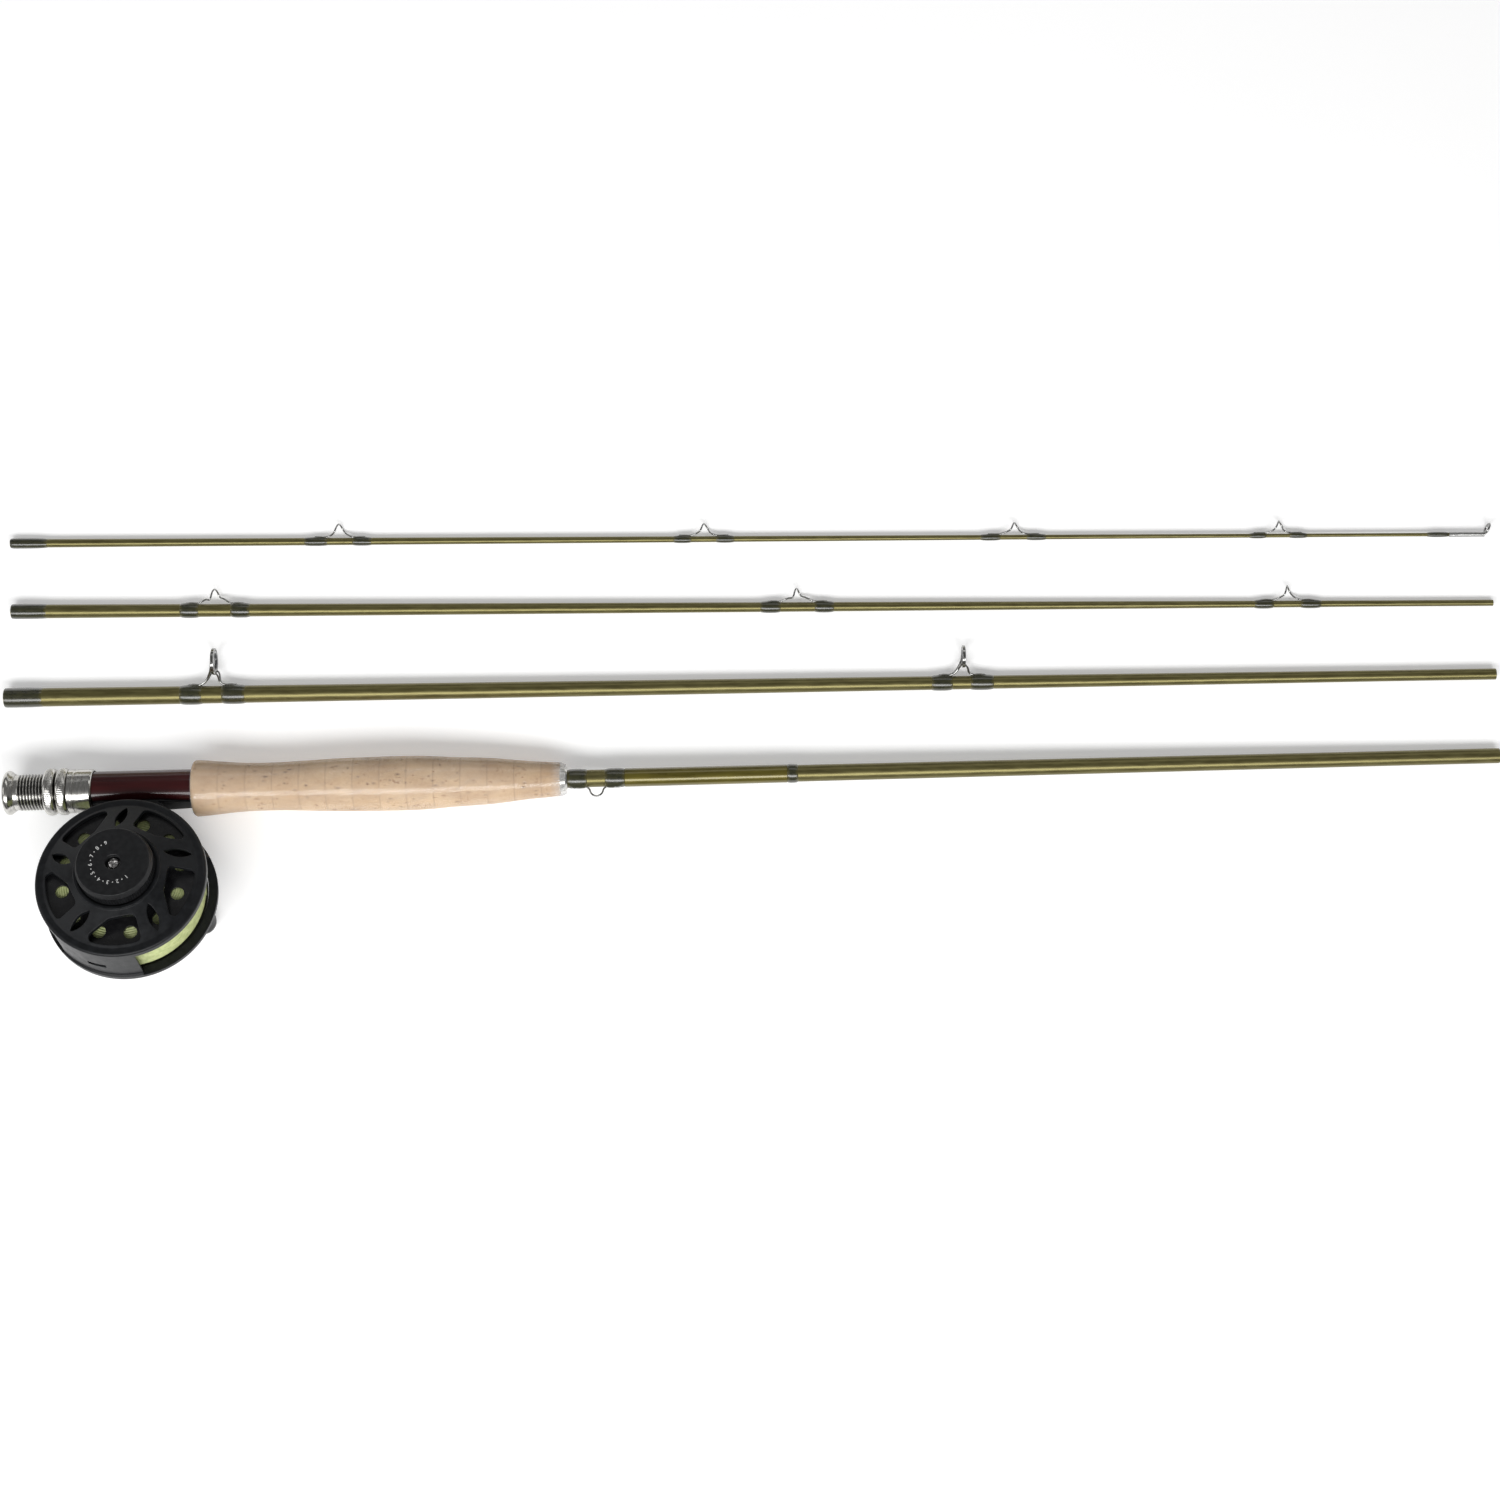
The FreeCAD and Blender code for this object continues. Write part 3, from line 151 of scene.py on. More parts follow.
def surface(name, dark, light, roughness, scale=200.0, stretch=(1, 1, 1), metallic=0.0, coat=0.0,
            specular=0.5, grain=(0.0, 1000.0), rounding=0.0, coat_roughness=0.08, anisotropic=0.0):
    """A material whose colour and gloss drift over a noise, with a fine grain and softened edges."""
    material = bpy.data.materials.new(name)
    material.use_nodes = True
    tree = material.node_tree
    shader = tree.nodes["Principled BSDF"]
    drift = noise(tree, scale, stretch)
    tree.links.new(ramp(tree, drift, (0.36, dark), (0.64, light)), shader.inputs["Base Color"])
    tree.links.new(spread(tree, drift, roughness * 0.85, roughness * 1.15), shader.inputs["Roughness"])
    shader.inputs["Metallic"].default_value = metallic
    shader.inputs["Specular IOR Level"].default_value = specular
    shader.inputs["Coat Weight"].default_value = coat
    shader.inputs["Coat Roughness"].default_value = coat_roughness
    shader.inputs["Anisotropic"].default_value = anisotropic
    height, fineness = grain
    normal = None
    if rounding:
        normal = add(tree, "Bevel", [("Radius", rounding * MM)], samples=6).outputs["Normal"]
    if height:
        bump = add(tree, "Bump", [("Height", noise(tree, fineness, stretch, 3.0)), ("Strength", 1.0),
                                  ("Distance", height * MM)])
        if normal:
            tree.links.new(normal, bump.inputs["Normal"])
        normal = bump.outputs["Normal"]
    if normal:
        tree.links.new(normal, shader.inputs["Normal"])
    return material, tree, shader


def plain(*settings, **named):
    return surface(*settings, **named)[0]


def thread_material():
    """Dark thread under clear varnish: the thread's lines as a bump, and an olive rim of bare varnish."""
    material, tree, shader = surface("thread_under_varnish", (0.017, 0.018, 0.006), (0.034, 0.033, 0.010),
                                     0.30, scale=900, stretch=(0.4, 1, 1), coat=0.8, coat_roughness=0.16)
    base = shader.inputs["Base Color"].links[0].from_socket
    edge = add(tree, "Attribute", attribute_name="edge").outputs["Fac"]
    tree.links.new(mix(tree, edge, base, (0.085, 0.072, 0.014, 1)), shader.inputs["Base Color"])
    where = add(tree, "TexCoord").outputs["Object"]
    lines = add(tree, "TexWave", [("Vector", where), ("Scale", 1250.0), ("Distortion", 0.4), ("Detail", 1.0)],
                bands_direction="X")
    bump = add(tree, "Bump", [("Height", lines.outputs["Fac"]), ("Strength", 0.5), ("Distance", 0.00004)])
    tree.links.new(bump.outputs["Normal"], shader.inputs["Normal"])
    return material


def cork_material():
    """Cork: warm grain that changes from ring to ring, with darker pits and seams."""
    material, tree, shader = surface("cork_rings", (0.50, 0.32, 0.175), (0.66, 0.46, 0.275), 0.62, scale=95,
                                     stretch=(0.55, 1, 1), specular=0.3, coat=0.35, coat_roughness=0.16)
    base = shader.inputs["Base Color"].links[0].from_socket
    fine = spread(tree, noise(tree, 1400, (0.5, 1, 1), 8.0, 0.7), 0.0, 0.42)
    grained = mix(tree, fine, base, (0.74, 0.55, 0.35, 1))
    tone = add(tree, "Attribute", attribute_name="tone").outputs["Fac"]
    ringed = mix(tree, tone, grained, (0.46, 0.28, 0.14, 1))
    specks = ramp(tree, noise(tree, 620, (0.6, 1, 1), 2.0), (0.63, (0, 0, 0)), (0.72, (1, 1, 1)))
    specked = mix(tree, specks, ringed, (0.40, 0.23, 0.11, 1))
    pit = add(tree, "Attribute", attribute_name="pit").outputs["Fac"]
    tree.links.new(mix(tree, pit, specked, (0.16, 0.085, 0.04, 1)), shader.inputs["Base Color"])
    bump = add(tree, "Bump", [("Height", noise(tree, 2600, (0.6, 1, 1), 6.0)), ("Strength", 0.8),
                              ("Distance", 0.00012)])
    tree.links.new(bump.outputs["Normal"], shader.inputs["Normal"])
    return material


def film_material():
    """Clear shrink film: nearly all see-through, whiter where it is creased."""
    material, tree, shader = surface("clear_film", (0.80, 0.80, 0.79), (0.97, 0.97, 0.96), 0.07, scale=60,
                                     stretch=(0.2, 1, 1), specular=0.9, coat=1.0, coat_roughness=0.05)
    crease = add(tree, "Attribute", attribute_name="crease").outputs["Fac"]
    haze = spread(tree, noise(tree, 130, (0.25, 1, 1)), 0.04, 0.09)
    clear = add(tree, "MapRange", [("Value", crease), ("To Min", haze), ("To Max", 0.40)])
    tree.links.new(clear.outputs["Result"], shader.inputs["Alpha"])
    bump = add(tree, "Bump", [("Height", noise(tree, 260, (0.25, 1, 1), 4.0)), ("Strength", 0.7),
                              ("Distance", 0.0003)])
    tree.links.new(bump.outputs["Normal"], shader.inputs["Normal"])
    return material


def groove_shaded_nickel_material():
    """Turned nickel with painted shade: its colour darkens to near-black at the bottom of its thread."""
    material, tree, shader = surface("nickel_with_painted_groove_shade", (0.50, 0.49, 0.465), (0.66, 0.65, 0.62), 0.22,
                                     scale=260, metallic=1.0)
    base = shader.inputs["Base Color"].links[0].from_socket
    deep = add(tree, "Attribute", attribute_name="deep").outputs["Fac"]
    # painted shade: the deep value mixes the base colour toward near-black where the groove is deepest
    tree.links.new(mix(tree, deep, base, (0.05, 0.05, 0.048, 1)), shader.inputs["Base Color"])
    return material


OLIVE = plain("olive_lacquer", (0.128, 0.110, 0.038), (0.175, 0.154, 0.057), 0.36, scale=700,
              stretch=(0.15, 1, 1), metallic=0.72, grain=(0.012, 2500), coat=0.12, coat_roughness=0.35)
VARNISH = plain("label_varnish", (0.095, 0.076, 0.006), (0.145, 0.118, 0.012), 0.30, scale=350,
                stretch=(0.15, 1, 1), metallic=0.35, coat=0.6, coat_roughness=0.10)
THREAD = thread_material()
CORK = cork_material()
FILM = film_material()
NICKEL = plain("polished_nickel", (0.50, 0.49, 0.465), (0.66, 0.65, 0.62), 0.20, scale=260,
               stretch=(6, 1, 1), metallic=1.0, grain=(0.010, 900), anisotropic=0.4)
GROOVE_SHADED_NICKEL = groove_shaded_nickel_material()
WIRE = plain("guide_wire", (0.27, 0.27, 0.265), (0.42, 0.42, 0.41), 0.16, scale=900, metallic=1.0,
             grain=(0.004, 3000))
CERAMIC = plain("guide_ceramic", (0.045, 0.046, 0.048), (0.085, 0.086, 0.09), 0.16, scale=1500, coat=0.6)
BURGUNDY = plain("burgundy_lacquer", (0.030, 0.0035, 0.004), (0.055, 0.006, 0.0065), 0.30, scale=140,
                 stretch=(0.12, 1, 1), coat=0.55, coat_roughness=0.06, grain=(0.006, 900), specular=0.2)
POWDER = plain("powder_coat", (0.006, 0.0065, 0.0075), (0.010, 0.011, 0.0125), 0.38, scale=300,
               grain=(0.014, 5200), rounding=0.55, specular=0.25)
GLOSS_BLACK = plain("spool_enamel", (0.007, 0.007, 0.008), (0.013, 0.013, 0.014), 0.24, scale=300,
                    grain=(0.005, 3000), rounding=0.4, coat=0.3)
MOULDED = plain("moulded_black", (0.007, 0.0072, 0.008), (0.012, 0.0125, 0.0135), 0.38, scale=500,
                grain=(0.012, 6000), rounding=0.2, specular=0.3)
STEEL = plain("turned_steel", (0.42, 0.41, 0.40), (0.58, 0.57, 0.56), 0.26, scale=900, metallic=1.0,
              grain=(0.008, 2500))
BRASS = plain("turned_brass", (0.55, 0.38, 0.15), (0.68, 0.50, 0.22), 0.30, scale=900, metallic=1.0,
              grain=(0.008, 2500))
LINING = plain("brake_lining", (0.035, 0.030, 0.026), (0.085, 0.075, 0.065), 0.75, scale=1600,
               grain=(0.03, 3000))
LINE = plain("line_coating", (0.44, 0.50, 0.22), (0.58, 0.63, 0.31), 0.40, scale=420, specular=0.4,
             grain=(0.015, 2600))
PRINT = plain("white_print", (0.66, 0.66, 0.65), (0.80, 0.80, 0.79), 0.5, scale=2500)

CAD_FINISHES = {
    OLIVE: ["butt_blank", "lower_blank", "upper_blank", "tip_blank"],
    VARNISH: ["label_coat"],
    NICKEL: ["fixed_hood", "sliding_hood", "winding_check"],
    WIRE: ["hook_keeper", "large_stripping_guide", "small_stripping_guide", "tip_top",
           *(f"upper_snake_guide_{letter}" for letter in "abc"),
           *(f"tip_snake_guide_{letter}" for letter in "abcd")],
    CERAMIC: ["large_guide_ring", "small_guide_ring"],
    BURGUNDY: ["seat_insert"],
    POWDER: ["reel_frame", "reel_foot"],
    GLOSS_BLACK: ["spool", "latch_cover", "counterweight"],
    MOULDED: ["handle_knob"],
    STEEL: ["spindle", "drag_nut", "drag_springs", "thrust_washer", "push_pins", "pressure_plate",
            "click_pawl", "pawl_pin", "pawl_spring", "spool_latch", "latch_spring", "handle_pin",
            "foot_screws", "one_way_clutch"],
    BRASS: ["brake_rotor", "spool_bushing"],
    LINING: ["friction_disc"],
}
for material, names in CAD_FINISHES.items():
    for name in names:
        mesh = frame["nodes"][name].data
        mesh.materials.clear()
        mesh.materials.append(material)


# ---------------------------------------------------------------------------------------------------
# Mesh tools


def piece(name, place, points, faces, material, body, slot, replaces=(), **shades):
    """Makes a smooth mesh from millimetre points in a frame; shades are values for each point."""
    mesh = bpy.data.meshes.new(name)
    mesh.from_pydata([place @ (Vector(point) * MM) for point in points], [], faces)
    for shade, values in shades.items():
        mesh.attributes.new(shade, "FLOAT", "POINT").data.foreach_set("value", values)
    mesh.materials.append(material)
    mesh.polygons.foreach_set("use_smooth", [True] * len(mesh.polygons))
    made = bpy.data.objects.new(name, mesh)
    bpy.context.scene.collection.objects.link(made)
    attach(made, body)
    if replaces:
        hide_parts(*replaces)
    return made


def band(here, there, sides):
    """The faces between two rings of points, given the number of each ring's first point."""
    return [(here + step, here + (step + 1) % sides, there + (step + 1) % sides, there + step)
            for step in range(sides)]


def lathe(profile, sides, shape=None):
    """Turns a closed profile of (along, radius) points about X; shape bends each turned point."""
    points, faces = [], []
    rows = len(profile)
    for along, radius in profile:
        for step in range(sides):
            angle = 2 * math.pi * step / sides
            x, reach = shape(along, radius, angle) if shape else (along, radius)
            points.append((x, reach * math.cos(angle), reach * math.sin(angle)))
    for row in range(rows):
        faces += band(row * sides, (row + 1) % rows * sides, sides)
    return points, faces


def joined(*shapes):
    """Puts several sets of points and faces into one."""
    points, faces = [], []
    for more_points, more_faces in shapes:
        first = len(points)
        points += more_points
        faces += [tuple(first + index for index in face) for face in more_faces]
    return points, faces


def arc(centre, radius, first, last, count):
    """Points of an arc, for a lathe's profile: angles in degrees from the +along direction."""
    turns = [math.radians(first + (last - first) * i / count) for i in range(count + 1)]
    return [(centre[0] + radius * math.cos(turn), centre[1] + radius * math.sin(turn)) for turn in turns]


def interpolated(table, x):
    """Reads a sorted table of (x, value) pairs."""
    for (low, first), (high, second) in zip(table, table[1:]):
        if x <= high:
            share = max(0.0, (x - low) / (high - low))
            return first + (second - first) * share
    return table[-1][1]


def solids(node, place):
    """The separate solids of a CAD node, each as its corners in a frame, in millimetres."""
    back = place.inverted()
    work = bmesh.new()
    work.from_mesh(frame["nodes"][node].data)
    bmesh.ops.remove_doubles(work, verts=work.verts, dist=1e-6)
    left, found = set(work.verts), []
    while left:
        stack, group = [left.pop()], []
        while stack:
            vertex = stack.pop()
            group.append((back @ vertex.co) / MM)
            for edge in vertex.link_edges:
                other = edge.other_vert(vertex)
                if other in left:
                    left.remove(other)
                    stack.append(other)
        found.append(group)
    work.free()
    return sorted(found, key=lambda group: min(point.x for point in group))


# ---------------------------------------------------------------------------------------------------
# Thread wraps


def foot_spans(place, guides):
    """Where along the section each guide's two feet lie, and on which side of the blank."""
    spans = []
    for guide in guides:
        points = corners(guide, place)
        low, high = min(point.x for point in points), max(point.x for point in points)
        side = 0.0 if max(points, key=lambda point: math.hypot(point.y, point.z)).y > 0 else math.pi
        spans.append((low, high, side, 0.65 if "stripping" in guide else 0.45))
    return spans


def wrap(points, feet):
    """One crowned wrap over a solid's place, raised where a guide's foot lies under the thread."""
    start, end = min(point.x for point in points), max(point.x for point in points)
    end_slack, rim_width = 0.06, 1.5

    def end_radii(x):
        return [math.hypot(point.y, point.z) for point in points if abs(point.x - x) < end_slack]

    first, last = min(end_radii(start)), min(end_radii(end))
    blunt = max(end_radii(start)) > first + 0.1
    height = max(math.hypot(point.y, point.z) - first - (last - first) * (point.x - start) / (end - start)
                 for point in points)
    rows = 26

    def crown(share):
        """The varnish's height over the blank, as a share of its greatest."""
        if blunt:
            lip = min(1.0, 0.55 + share * 6)
            return lip * (1 - share ** 5) ** 0.6
        return (1 - abs(2 * share - 1) ** 2.6) ** 0.62

    def shape(x, radius, angle):
        share = (x - start) / (end - start)
        base = first + (last - first) * share
        if radius < base:
            return x, radius
        rise = 0.0
        for low, high, side, reach in feet:
            entering = start - 1 < low < end + 1
            leaving = start - 1 < high < end + 1
            if not (entering or leaving):
                continue
            depth = (x - low) if entering else (high - x)
            along = min(1.0, max(0.0, (depth + 1.2) / 3.0))
            across = math.atan2(math.sin(angle - side), math.cos(angle - side))
            rise = reach * along * math.exp(-(across * base / (reach + 0.45)) ** 2)
        return x, radius + rise * min(1.0, 1.6 * crown(share))

    shares = [0.5 - 0.5 * math.cos(math.pi * i / rows) for i in range(rows + 1)]
    outer = [(start + (end - start) * share, first + (last - first) * share + height * crown(share) - 0.02)
             for share in shares]
    under = [(end, last - 0.1), (start, first - 0.1)]
    sides = 48
    made = lathe(outer + under, sides, shape)
    edge = []
    for share in shares + [1.0, 0.0]:
        near = (1 - share) if blunt else min(share, 1 - share)
        edge += [max(0.0, 1 - near * (end - start) / rim_width) * 0.85] * sides
    return made, edge


def wraps(name, place, guides):
    feet = foot_spans(place, guides)
    made = [wrap(points, feet) for points in solids(f"{name}_wraps", place)]
    points, faces = joined(*(shape for shape, edge in made))
    piece(f"{name}_varnished_wraps", place, points, faces, THREAD, f"{name}_section", "thread_wrap",
          [f"{name}_wraps"], edge=[value for shape, edge in made for value in edge])


wraps("butt", BUTT, ["hook_keeper"])
wraps("lower", LOWER, ["large_stripping_guide", "small_stripping_guide"])
wraps("upper", UPPER, [f"upper_snake_guide_{letter}" for letter in "abc"])
wraps("tip", TIP, [f"tip_snake_guide_{letter}" for letter in "abcd"])


# ---------------------------------------------------------------------------------------------------
# Grip


def outer_radii(node, place, least):
    """A turned node's outer radius against the distance along it."""
    widest = {}
    for point in corners(node, place):
        radius = math.hypot(point.y, point.z)
        step = round(point.x, 1)
        if radius > least:
            widest[step] = max(radius, widest.get(step, 0))
    return sorted(widest.items())


def cork_grip():
    """Cork rings glued end to end: each a little proud or shy of its neighbour, with pits in its face."""
    table = outer_radii("cork_grip", BUTT, 7.5)
    start, end = table[0][0], table[-1][0]
    rings, ring_width = 16, 12.8
    rows, sides = 420, 150
    chance = random.Random(11)
    proud = [chance.uniform(-0.05, 0.03) for i in range(rings)]
    tones = [chance.uniform(0.0, 0.30) for i in range(rings)]
    pits = [(chance.uniform(start + 3, end - 2), chance.uniform(0, 2 * math.pi), chance.uniform(0.4, 1.3),
             chance.uniform(0.25, 0.55), chance.uniform(0.15, 0.5)) for i in range(210)]
    points, faces, dents, shades = [], [], [], []
    for row in range(rows + 1):
        x = start + (end - start) * row / rows
        ring = min(rings - 1, int((x - start) / ring_width))
        to_seam = abs((x - start + ring_width / 2) % ring_width - ring_width / 2)
        seam = math.exp(-(to_seam / 0.28) ** 2) if start + 3 < x < end - 2 else 0.0
        near = [pit for pit in pits if abs(pit[0] - x) < 3 * pit[2]]
        radius = interpolated(table, x) - 0.05 + proud[ring] - 0.05 * seam
        for step in range(sides):
            angle = 2 * math.pi * step / sides
            dent = 0.0
            for along, turn, length, width, depth in near:
                apart = math.atan2(math.sin(angle - turn), math.cos(angle - turn)) * radius
                far = ((x - along) / length) ** 2 + (apart / width) ** 2
                if far < 6:
                    dent = max(dent, depth * math.exp(-far * 1.4))
            reach = radius - dent
            points.append((x, reach * math.cos(angle), reach * math.sin(angle)))
            dents.append(min(1.0, 2.2 * dent + 0.28 * seam))
            shades.append(tones[ring])
    for row in range(rows):
        faces += band(row * sides, (row + 1) * sides, sides)
    bore, hood, deep = 4.3, 10.45, 13.6
    for along, radius in ((end, bore), (start + deep, bore), (start + deep, hood), (start, hood)):
        faces += band(len(points) - sides, len(points), sides)
        for step in range(sides):
            angle = 2 * math.pi * step / sides
            points.append((along, radius * math.cos(angle), radius * math.sin(angle)))
        dents += [0.0] * sides
        shades += [0.2] * sides
    faces += band(len(points) - sides, 0, sides)
    piece("cork_grip_rings", BUTT, points, faces, CORK, "butt_section", "cork", ["cork_grip"], pit=dents,
          tone=shades)


def grip_film():
    """The shrink film: tight on the cork, slack in long shallow folds, and crumpled over its front end."""
    table = outer_radii("cork_grip", BUTT, 7.5)
    start, end = table[0][0], table[-1][0]
    lip = max(point.x for point in corners("grip_film", BUTT))
    sides, rows = 144, 150
    chance = random.Random(5)
    folds = [(chance.randint(5, 23), chance.uniform(0, 6.3), chance.uniform(0.2, 0.6)) for i in range(7)]
    profile = []
    for row in range(rows + 1):
        x = start - 0.3 + (end - start + 0.6) * row / rows
        profile.append((x, interpolated(table, x) + 0.12))
    profile += [(end + 0.9, 7.8), (end + 1.8, 7.2), (lip, 6.9)]
    crease = []

    def shape(x, radius, angle):
        crumple = max(0.0, min(1.0, (x - end + 5) / 5)) ** 1.5
        fold = sum(math.sin(count * angle + phase + x * bend) for count, phase, bend in folds) / len(folds)
        sharp = abs(math.sin(31 * angle + 1.9 * x) * math.sin(19 * angle - 2.6 * x + 1.0))
        crease.append(0.10 * max(0.0, fold) + crumple * (0.25 + 0.75 * sharp))
        return x, radius + 0.05 * fold + crumple * (0.34 * sharp + 0.2 * fold)

    outer = lathe(profile, sides, shape)[0]
    inner = [(x, y * (1 - 0.04 / math.hypot(y, z)), z * (1 - 0.04 / math.hypot(y, z))) for x, y, z in outer]
    under, last = len(outer), (len(profile) - 1) * sides
    faces = band(under, 0, sides) + band(last, under + last, sides)
    for here in range(0, last, sides):
        there = here + sides
        faces += band(here, there, sides) + band(under + there, under + here, sides)
    piece("shrink_film", BUTT, outer + inner, faces, FILM, "butt_section", "film", ["grip_film"],
          crease=crease + crease)


cork_grip()
grip_film()


# ---------------------------------------------------------------------------------------------------
# Reel seat


def butt_cap():
    """End cap with a rolled rim and a shallow dished end."""
    _, length, _, rim = turned_size("butt_cap", BUTT)
    profile = [(0.9, 0.05), (0.9, rim - 4.6), (0.35, rim - 3.4)]
    profile += arc((1.9, rim - 1.9), 1.9, 190, 50, 14)
    profile += [(length - 1.1, rim - 1.1), (length - 0.5, rim - 1.5), (length - 0.15, rim - 1.7),
                (length, rim - 2.0), (length, 0.05)]
    piece("turned_cap", BUTT, *lathe(profile[::-1], 96), NICKEL, "butt_section", "seat_metal", ["butt_cap"])


def threaded_barrel():
    """The seat's barrel with its helical thread, and the flat that the reel foot lies in."""
    start, end, _, crest = turned_size("seat_barrel", BUTT)
    pitch, depth, thread_start, thread_end = 1.5, 0.7, 6.9, 32.4
    flat_start, flat = 35.0, 7.5
    # deep holds the painted shade of the thread's groove, one value for each point
    deep = []

    def shape(x, radius, angle):
        deep.append(0.0)
        if radius < crest - depth - 0.2:
            return x, radius
        phase = (x / pitch - angle / (2 * math.pi)) % 1
        ridge = max(0.0, min(1.0, 1.25 - 3.2 * abs(phase - 0.5)))
        inside = max(0.0, min(1.0, (x - thread_start) / 0.4, (thread_end - x) / 1.0))
        reach = crest - 0.25 * (1 - inside) - depth * (1 - ridge) * inside
        # painted shade mask: 1 at the bottom of the groove, 0 on the crest
        deep[-1] = (1 - ridge) * inside
        if x >= flat_start and math.cos(angle) < -0.5:
            reach = min(reach, flat / -math.cos(angle))
        return x, reach

    rows = int((end - start) / 0.15)
    profile = [(start + (end - start) * i / rows, crest) for i in range(rows + 1)]
    profile += [(end, 4.3), (start, 4.3)]
    made = lathe(profile, 90, shape)
    piece("threaded_barrel", BUTT, *made, GROOVE_SHADED_NICKEL, "butt_section", "seat_metal", ["seat_barrel"], deep=deep)


def lock_nut(which):
    """A rounded lock nut with a fine straight knurl over its crown."""
    start, end, bore, crown = turned_size(f"{which}_lock_nut", BUTT)
    middle, half = (start + end) / 2, (end - start) / 2
    teeth, knurl = 84, 0.16

    def shape(x, radius, angle):
        share = max(0.0, 1 - ((x - middle) / (0.62 * half)) ** 4)
        if radius > bore + 1:
            radius -= knurl * share * (0.5 + 0.5 * math.cos(teeth * angle))
        return x, radius

    profile = [(start, bore), (start, crown - 1.9)]
    for i in range(15):
        lean = math.pi * i / 14
        profile.append((middle - half * math.cos(lean), crown - 1.7 + 1.7 * math.sin(lean) ** 0.7))
    profile += [(end, crown - 1.9), (end, bore)]
    piece(f"{which}_knurled_nut", BUTT, *lathe(profile[::-1], teeth * 4, shape), NICKEL,
          f"{which}_lock_nut", "seat_metal", [f"{which}_lock_nut"])


butt_cap()
threaded_barrel()
lock_nut("rear")
lock_nut("front")


# ---------------------------------------------------------------------------------------------------
# Reel: knob, its screw and its dial, and the wound line


def drag_knob():
    """The knob with a ribbed rim, a chamfered face with faint turning marks, and a counterbore."""
    back, front, _, rim = turned_size("drag_knob", SPINDLE)
    bore, well, floor, roof, skirt = 3.06, 3.6, front - 2.5, back + 4.3, rim - 2.8
    shoulder, face = front - 2.8, rim - 1.35
    ribs = 88

    def shape(x, radius, angle):
        if radius > face + 0.6 and back + 0.5 < x < shoulder - 0.2:
            return x, radius - 0.42 * (0.5 + 0.5 * math.cos(ribs * angle)) ** 0.7
        return x, radius

    profile = [(back, skirt), (back, rim - 0.5), (back + 0.4, rim - 0.1), (back + 0.55, rim)]
    profile += [(back + 0.6 + (shoulder - back - 0.85) * i / 4, rim) for i in range(5)]
    profile += [(shoulder - 0.15, rim), (shoulder, rim - 0.1), (front - 0.6, face + 0.35)]
    profile += arc((front - 0.5, face - 0.15), 0.5, 60, 0, 4)
    rings = 60
    for i in range(rings + 1):
        radius = face - 0.5 - (face - 0.9 - well) * i / rings
        profile.append((front - 0.012 * (i % 2), radius))
    profile += [(front - 0.15, well + 0.1), (front - 0.4, well), (floor, well), (floor, bore), (roof, bore),
                (roof, skirt)]
    piece("ribbed_knob", SPINDLE, *lathe(profile[::-1], ribs * 4, shape), MOULDED, "drag_knob", "knob_black",
          ["drag_knob"])
    return front


def knob_screw():
    """A pan-head screw with a cross slot."""
    low, high, _, head = turned_size("knob_screw", SPINDLE)
    shank, under = 1.5, low + 1.8
    slot, slot_length, slot_depth = 0.42, 2.05, 0.75

    def shape(x, radius, angle):
        across, up = abs(radius * math.cos(angle)), abs(radius * math.sin(angle))
        if x > under + 0.3 and min(across, up) < slot and max(across, up) < slot_length:
            return x - slot_depth * min(1.0, (slot - min(across, up)) / 0.12), radius
        return x, radius

    profile = [(low, 0.02), (low, shank), (under, shank), (under, head)]
    profile += arc((under + 0.35, head - 0.35), 0.35, 60, 60, 1)
    rings = 30
    for i in range(rings + 1):
        radius = (head - 0.2) * (1 - i / rings) + 0.02
        profile.append((high - (high - under - 0.6) * (radius / head) ** 2.4, radius))
    piece("cross_slot_screw", SPINDLE, *lathe(profile[::-1], 128, shape), STEEL, "butt_section", "steel",
          ["knob_screw"])


def dial(front):
    """White figures and dots in an arc on the knob's face."""
    first, last, radius, height = 312.0, 112.0, 10.2, 1.95
    steps = 9
    for i in range(steps):
        angle = math.radians(first + (last - first) * i / (steps - 1))
        curve = bpy.data.curves.new(f"figure_{i + 1}", "FONT")
        curve.body = str(i + 1)
        curve.size = height * 1.35 * MM
        curve.align_x, curve.align_y = "CENTER", "CENTER"
        curve.extrude = 0.02 * MM
        holder = bpy.data.objects.new("figure_text", curve)
        mesh = bpy.data.meshes.new_from_object(holder)
        bpy.data.objects.remove(holder)
        turn = Matrix.Rotation(angle - math.pi / 2, 4, "Z")
        shift = Matrix.Translation(Vector((0, radius, front + 0.005)) * MM)
        mesh.transform(REEL @ turn @ shift)
        mesh.materials.clear()
        mesh.materials.append(PRINT)
        figure = bpy.data.objects.new(f"dial_figure_{i + 1}", mesh)
        bpy.context.scene.collection.objects.link(figure)
        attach(figure, "drag_knob")
    dots = []
    for i in range(steps - 1):
        angle = math.radians(first + (last - first) * (i + 0.5) / (steps - 1))
        dot = lathe([(-0.01, 0.02), (-0.01, 0.27), (0.02, 0.25), (0.02, 0.02)][::-1], 20)
        centre = (radius * math.cos(angle), radius * math.sin(angle))
        dots.append(([(x + front, y + centre[0], z + centre[1]) for x, y, z in dot[0]], dot[1]))
    piece("dial_dots", SPINDLE, *joined(*dots), PRINT, "drag_knob", "knob_black")


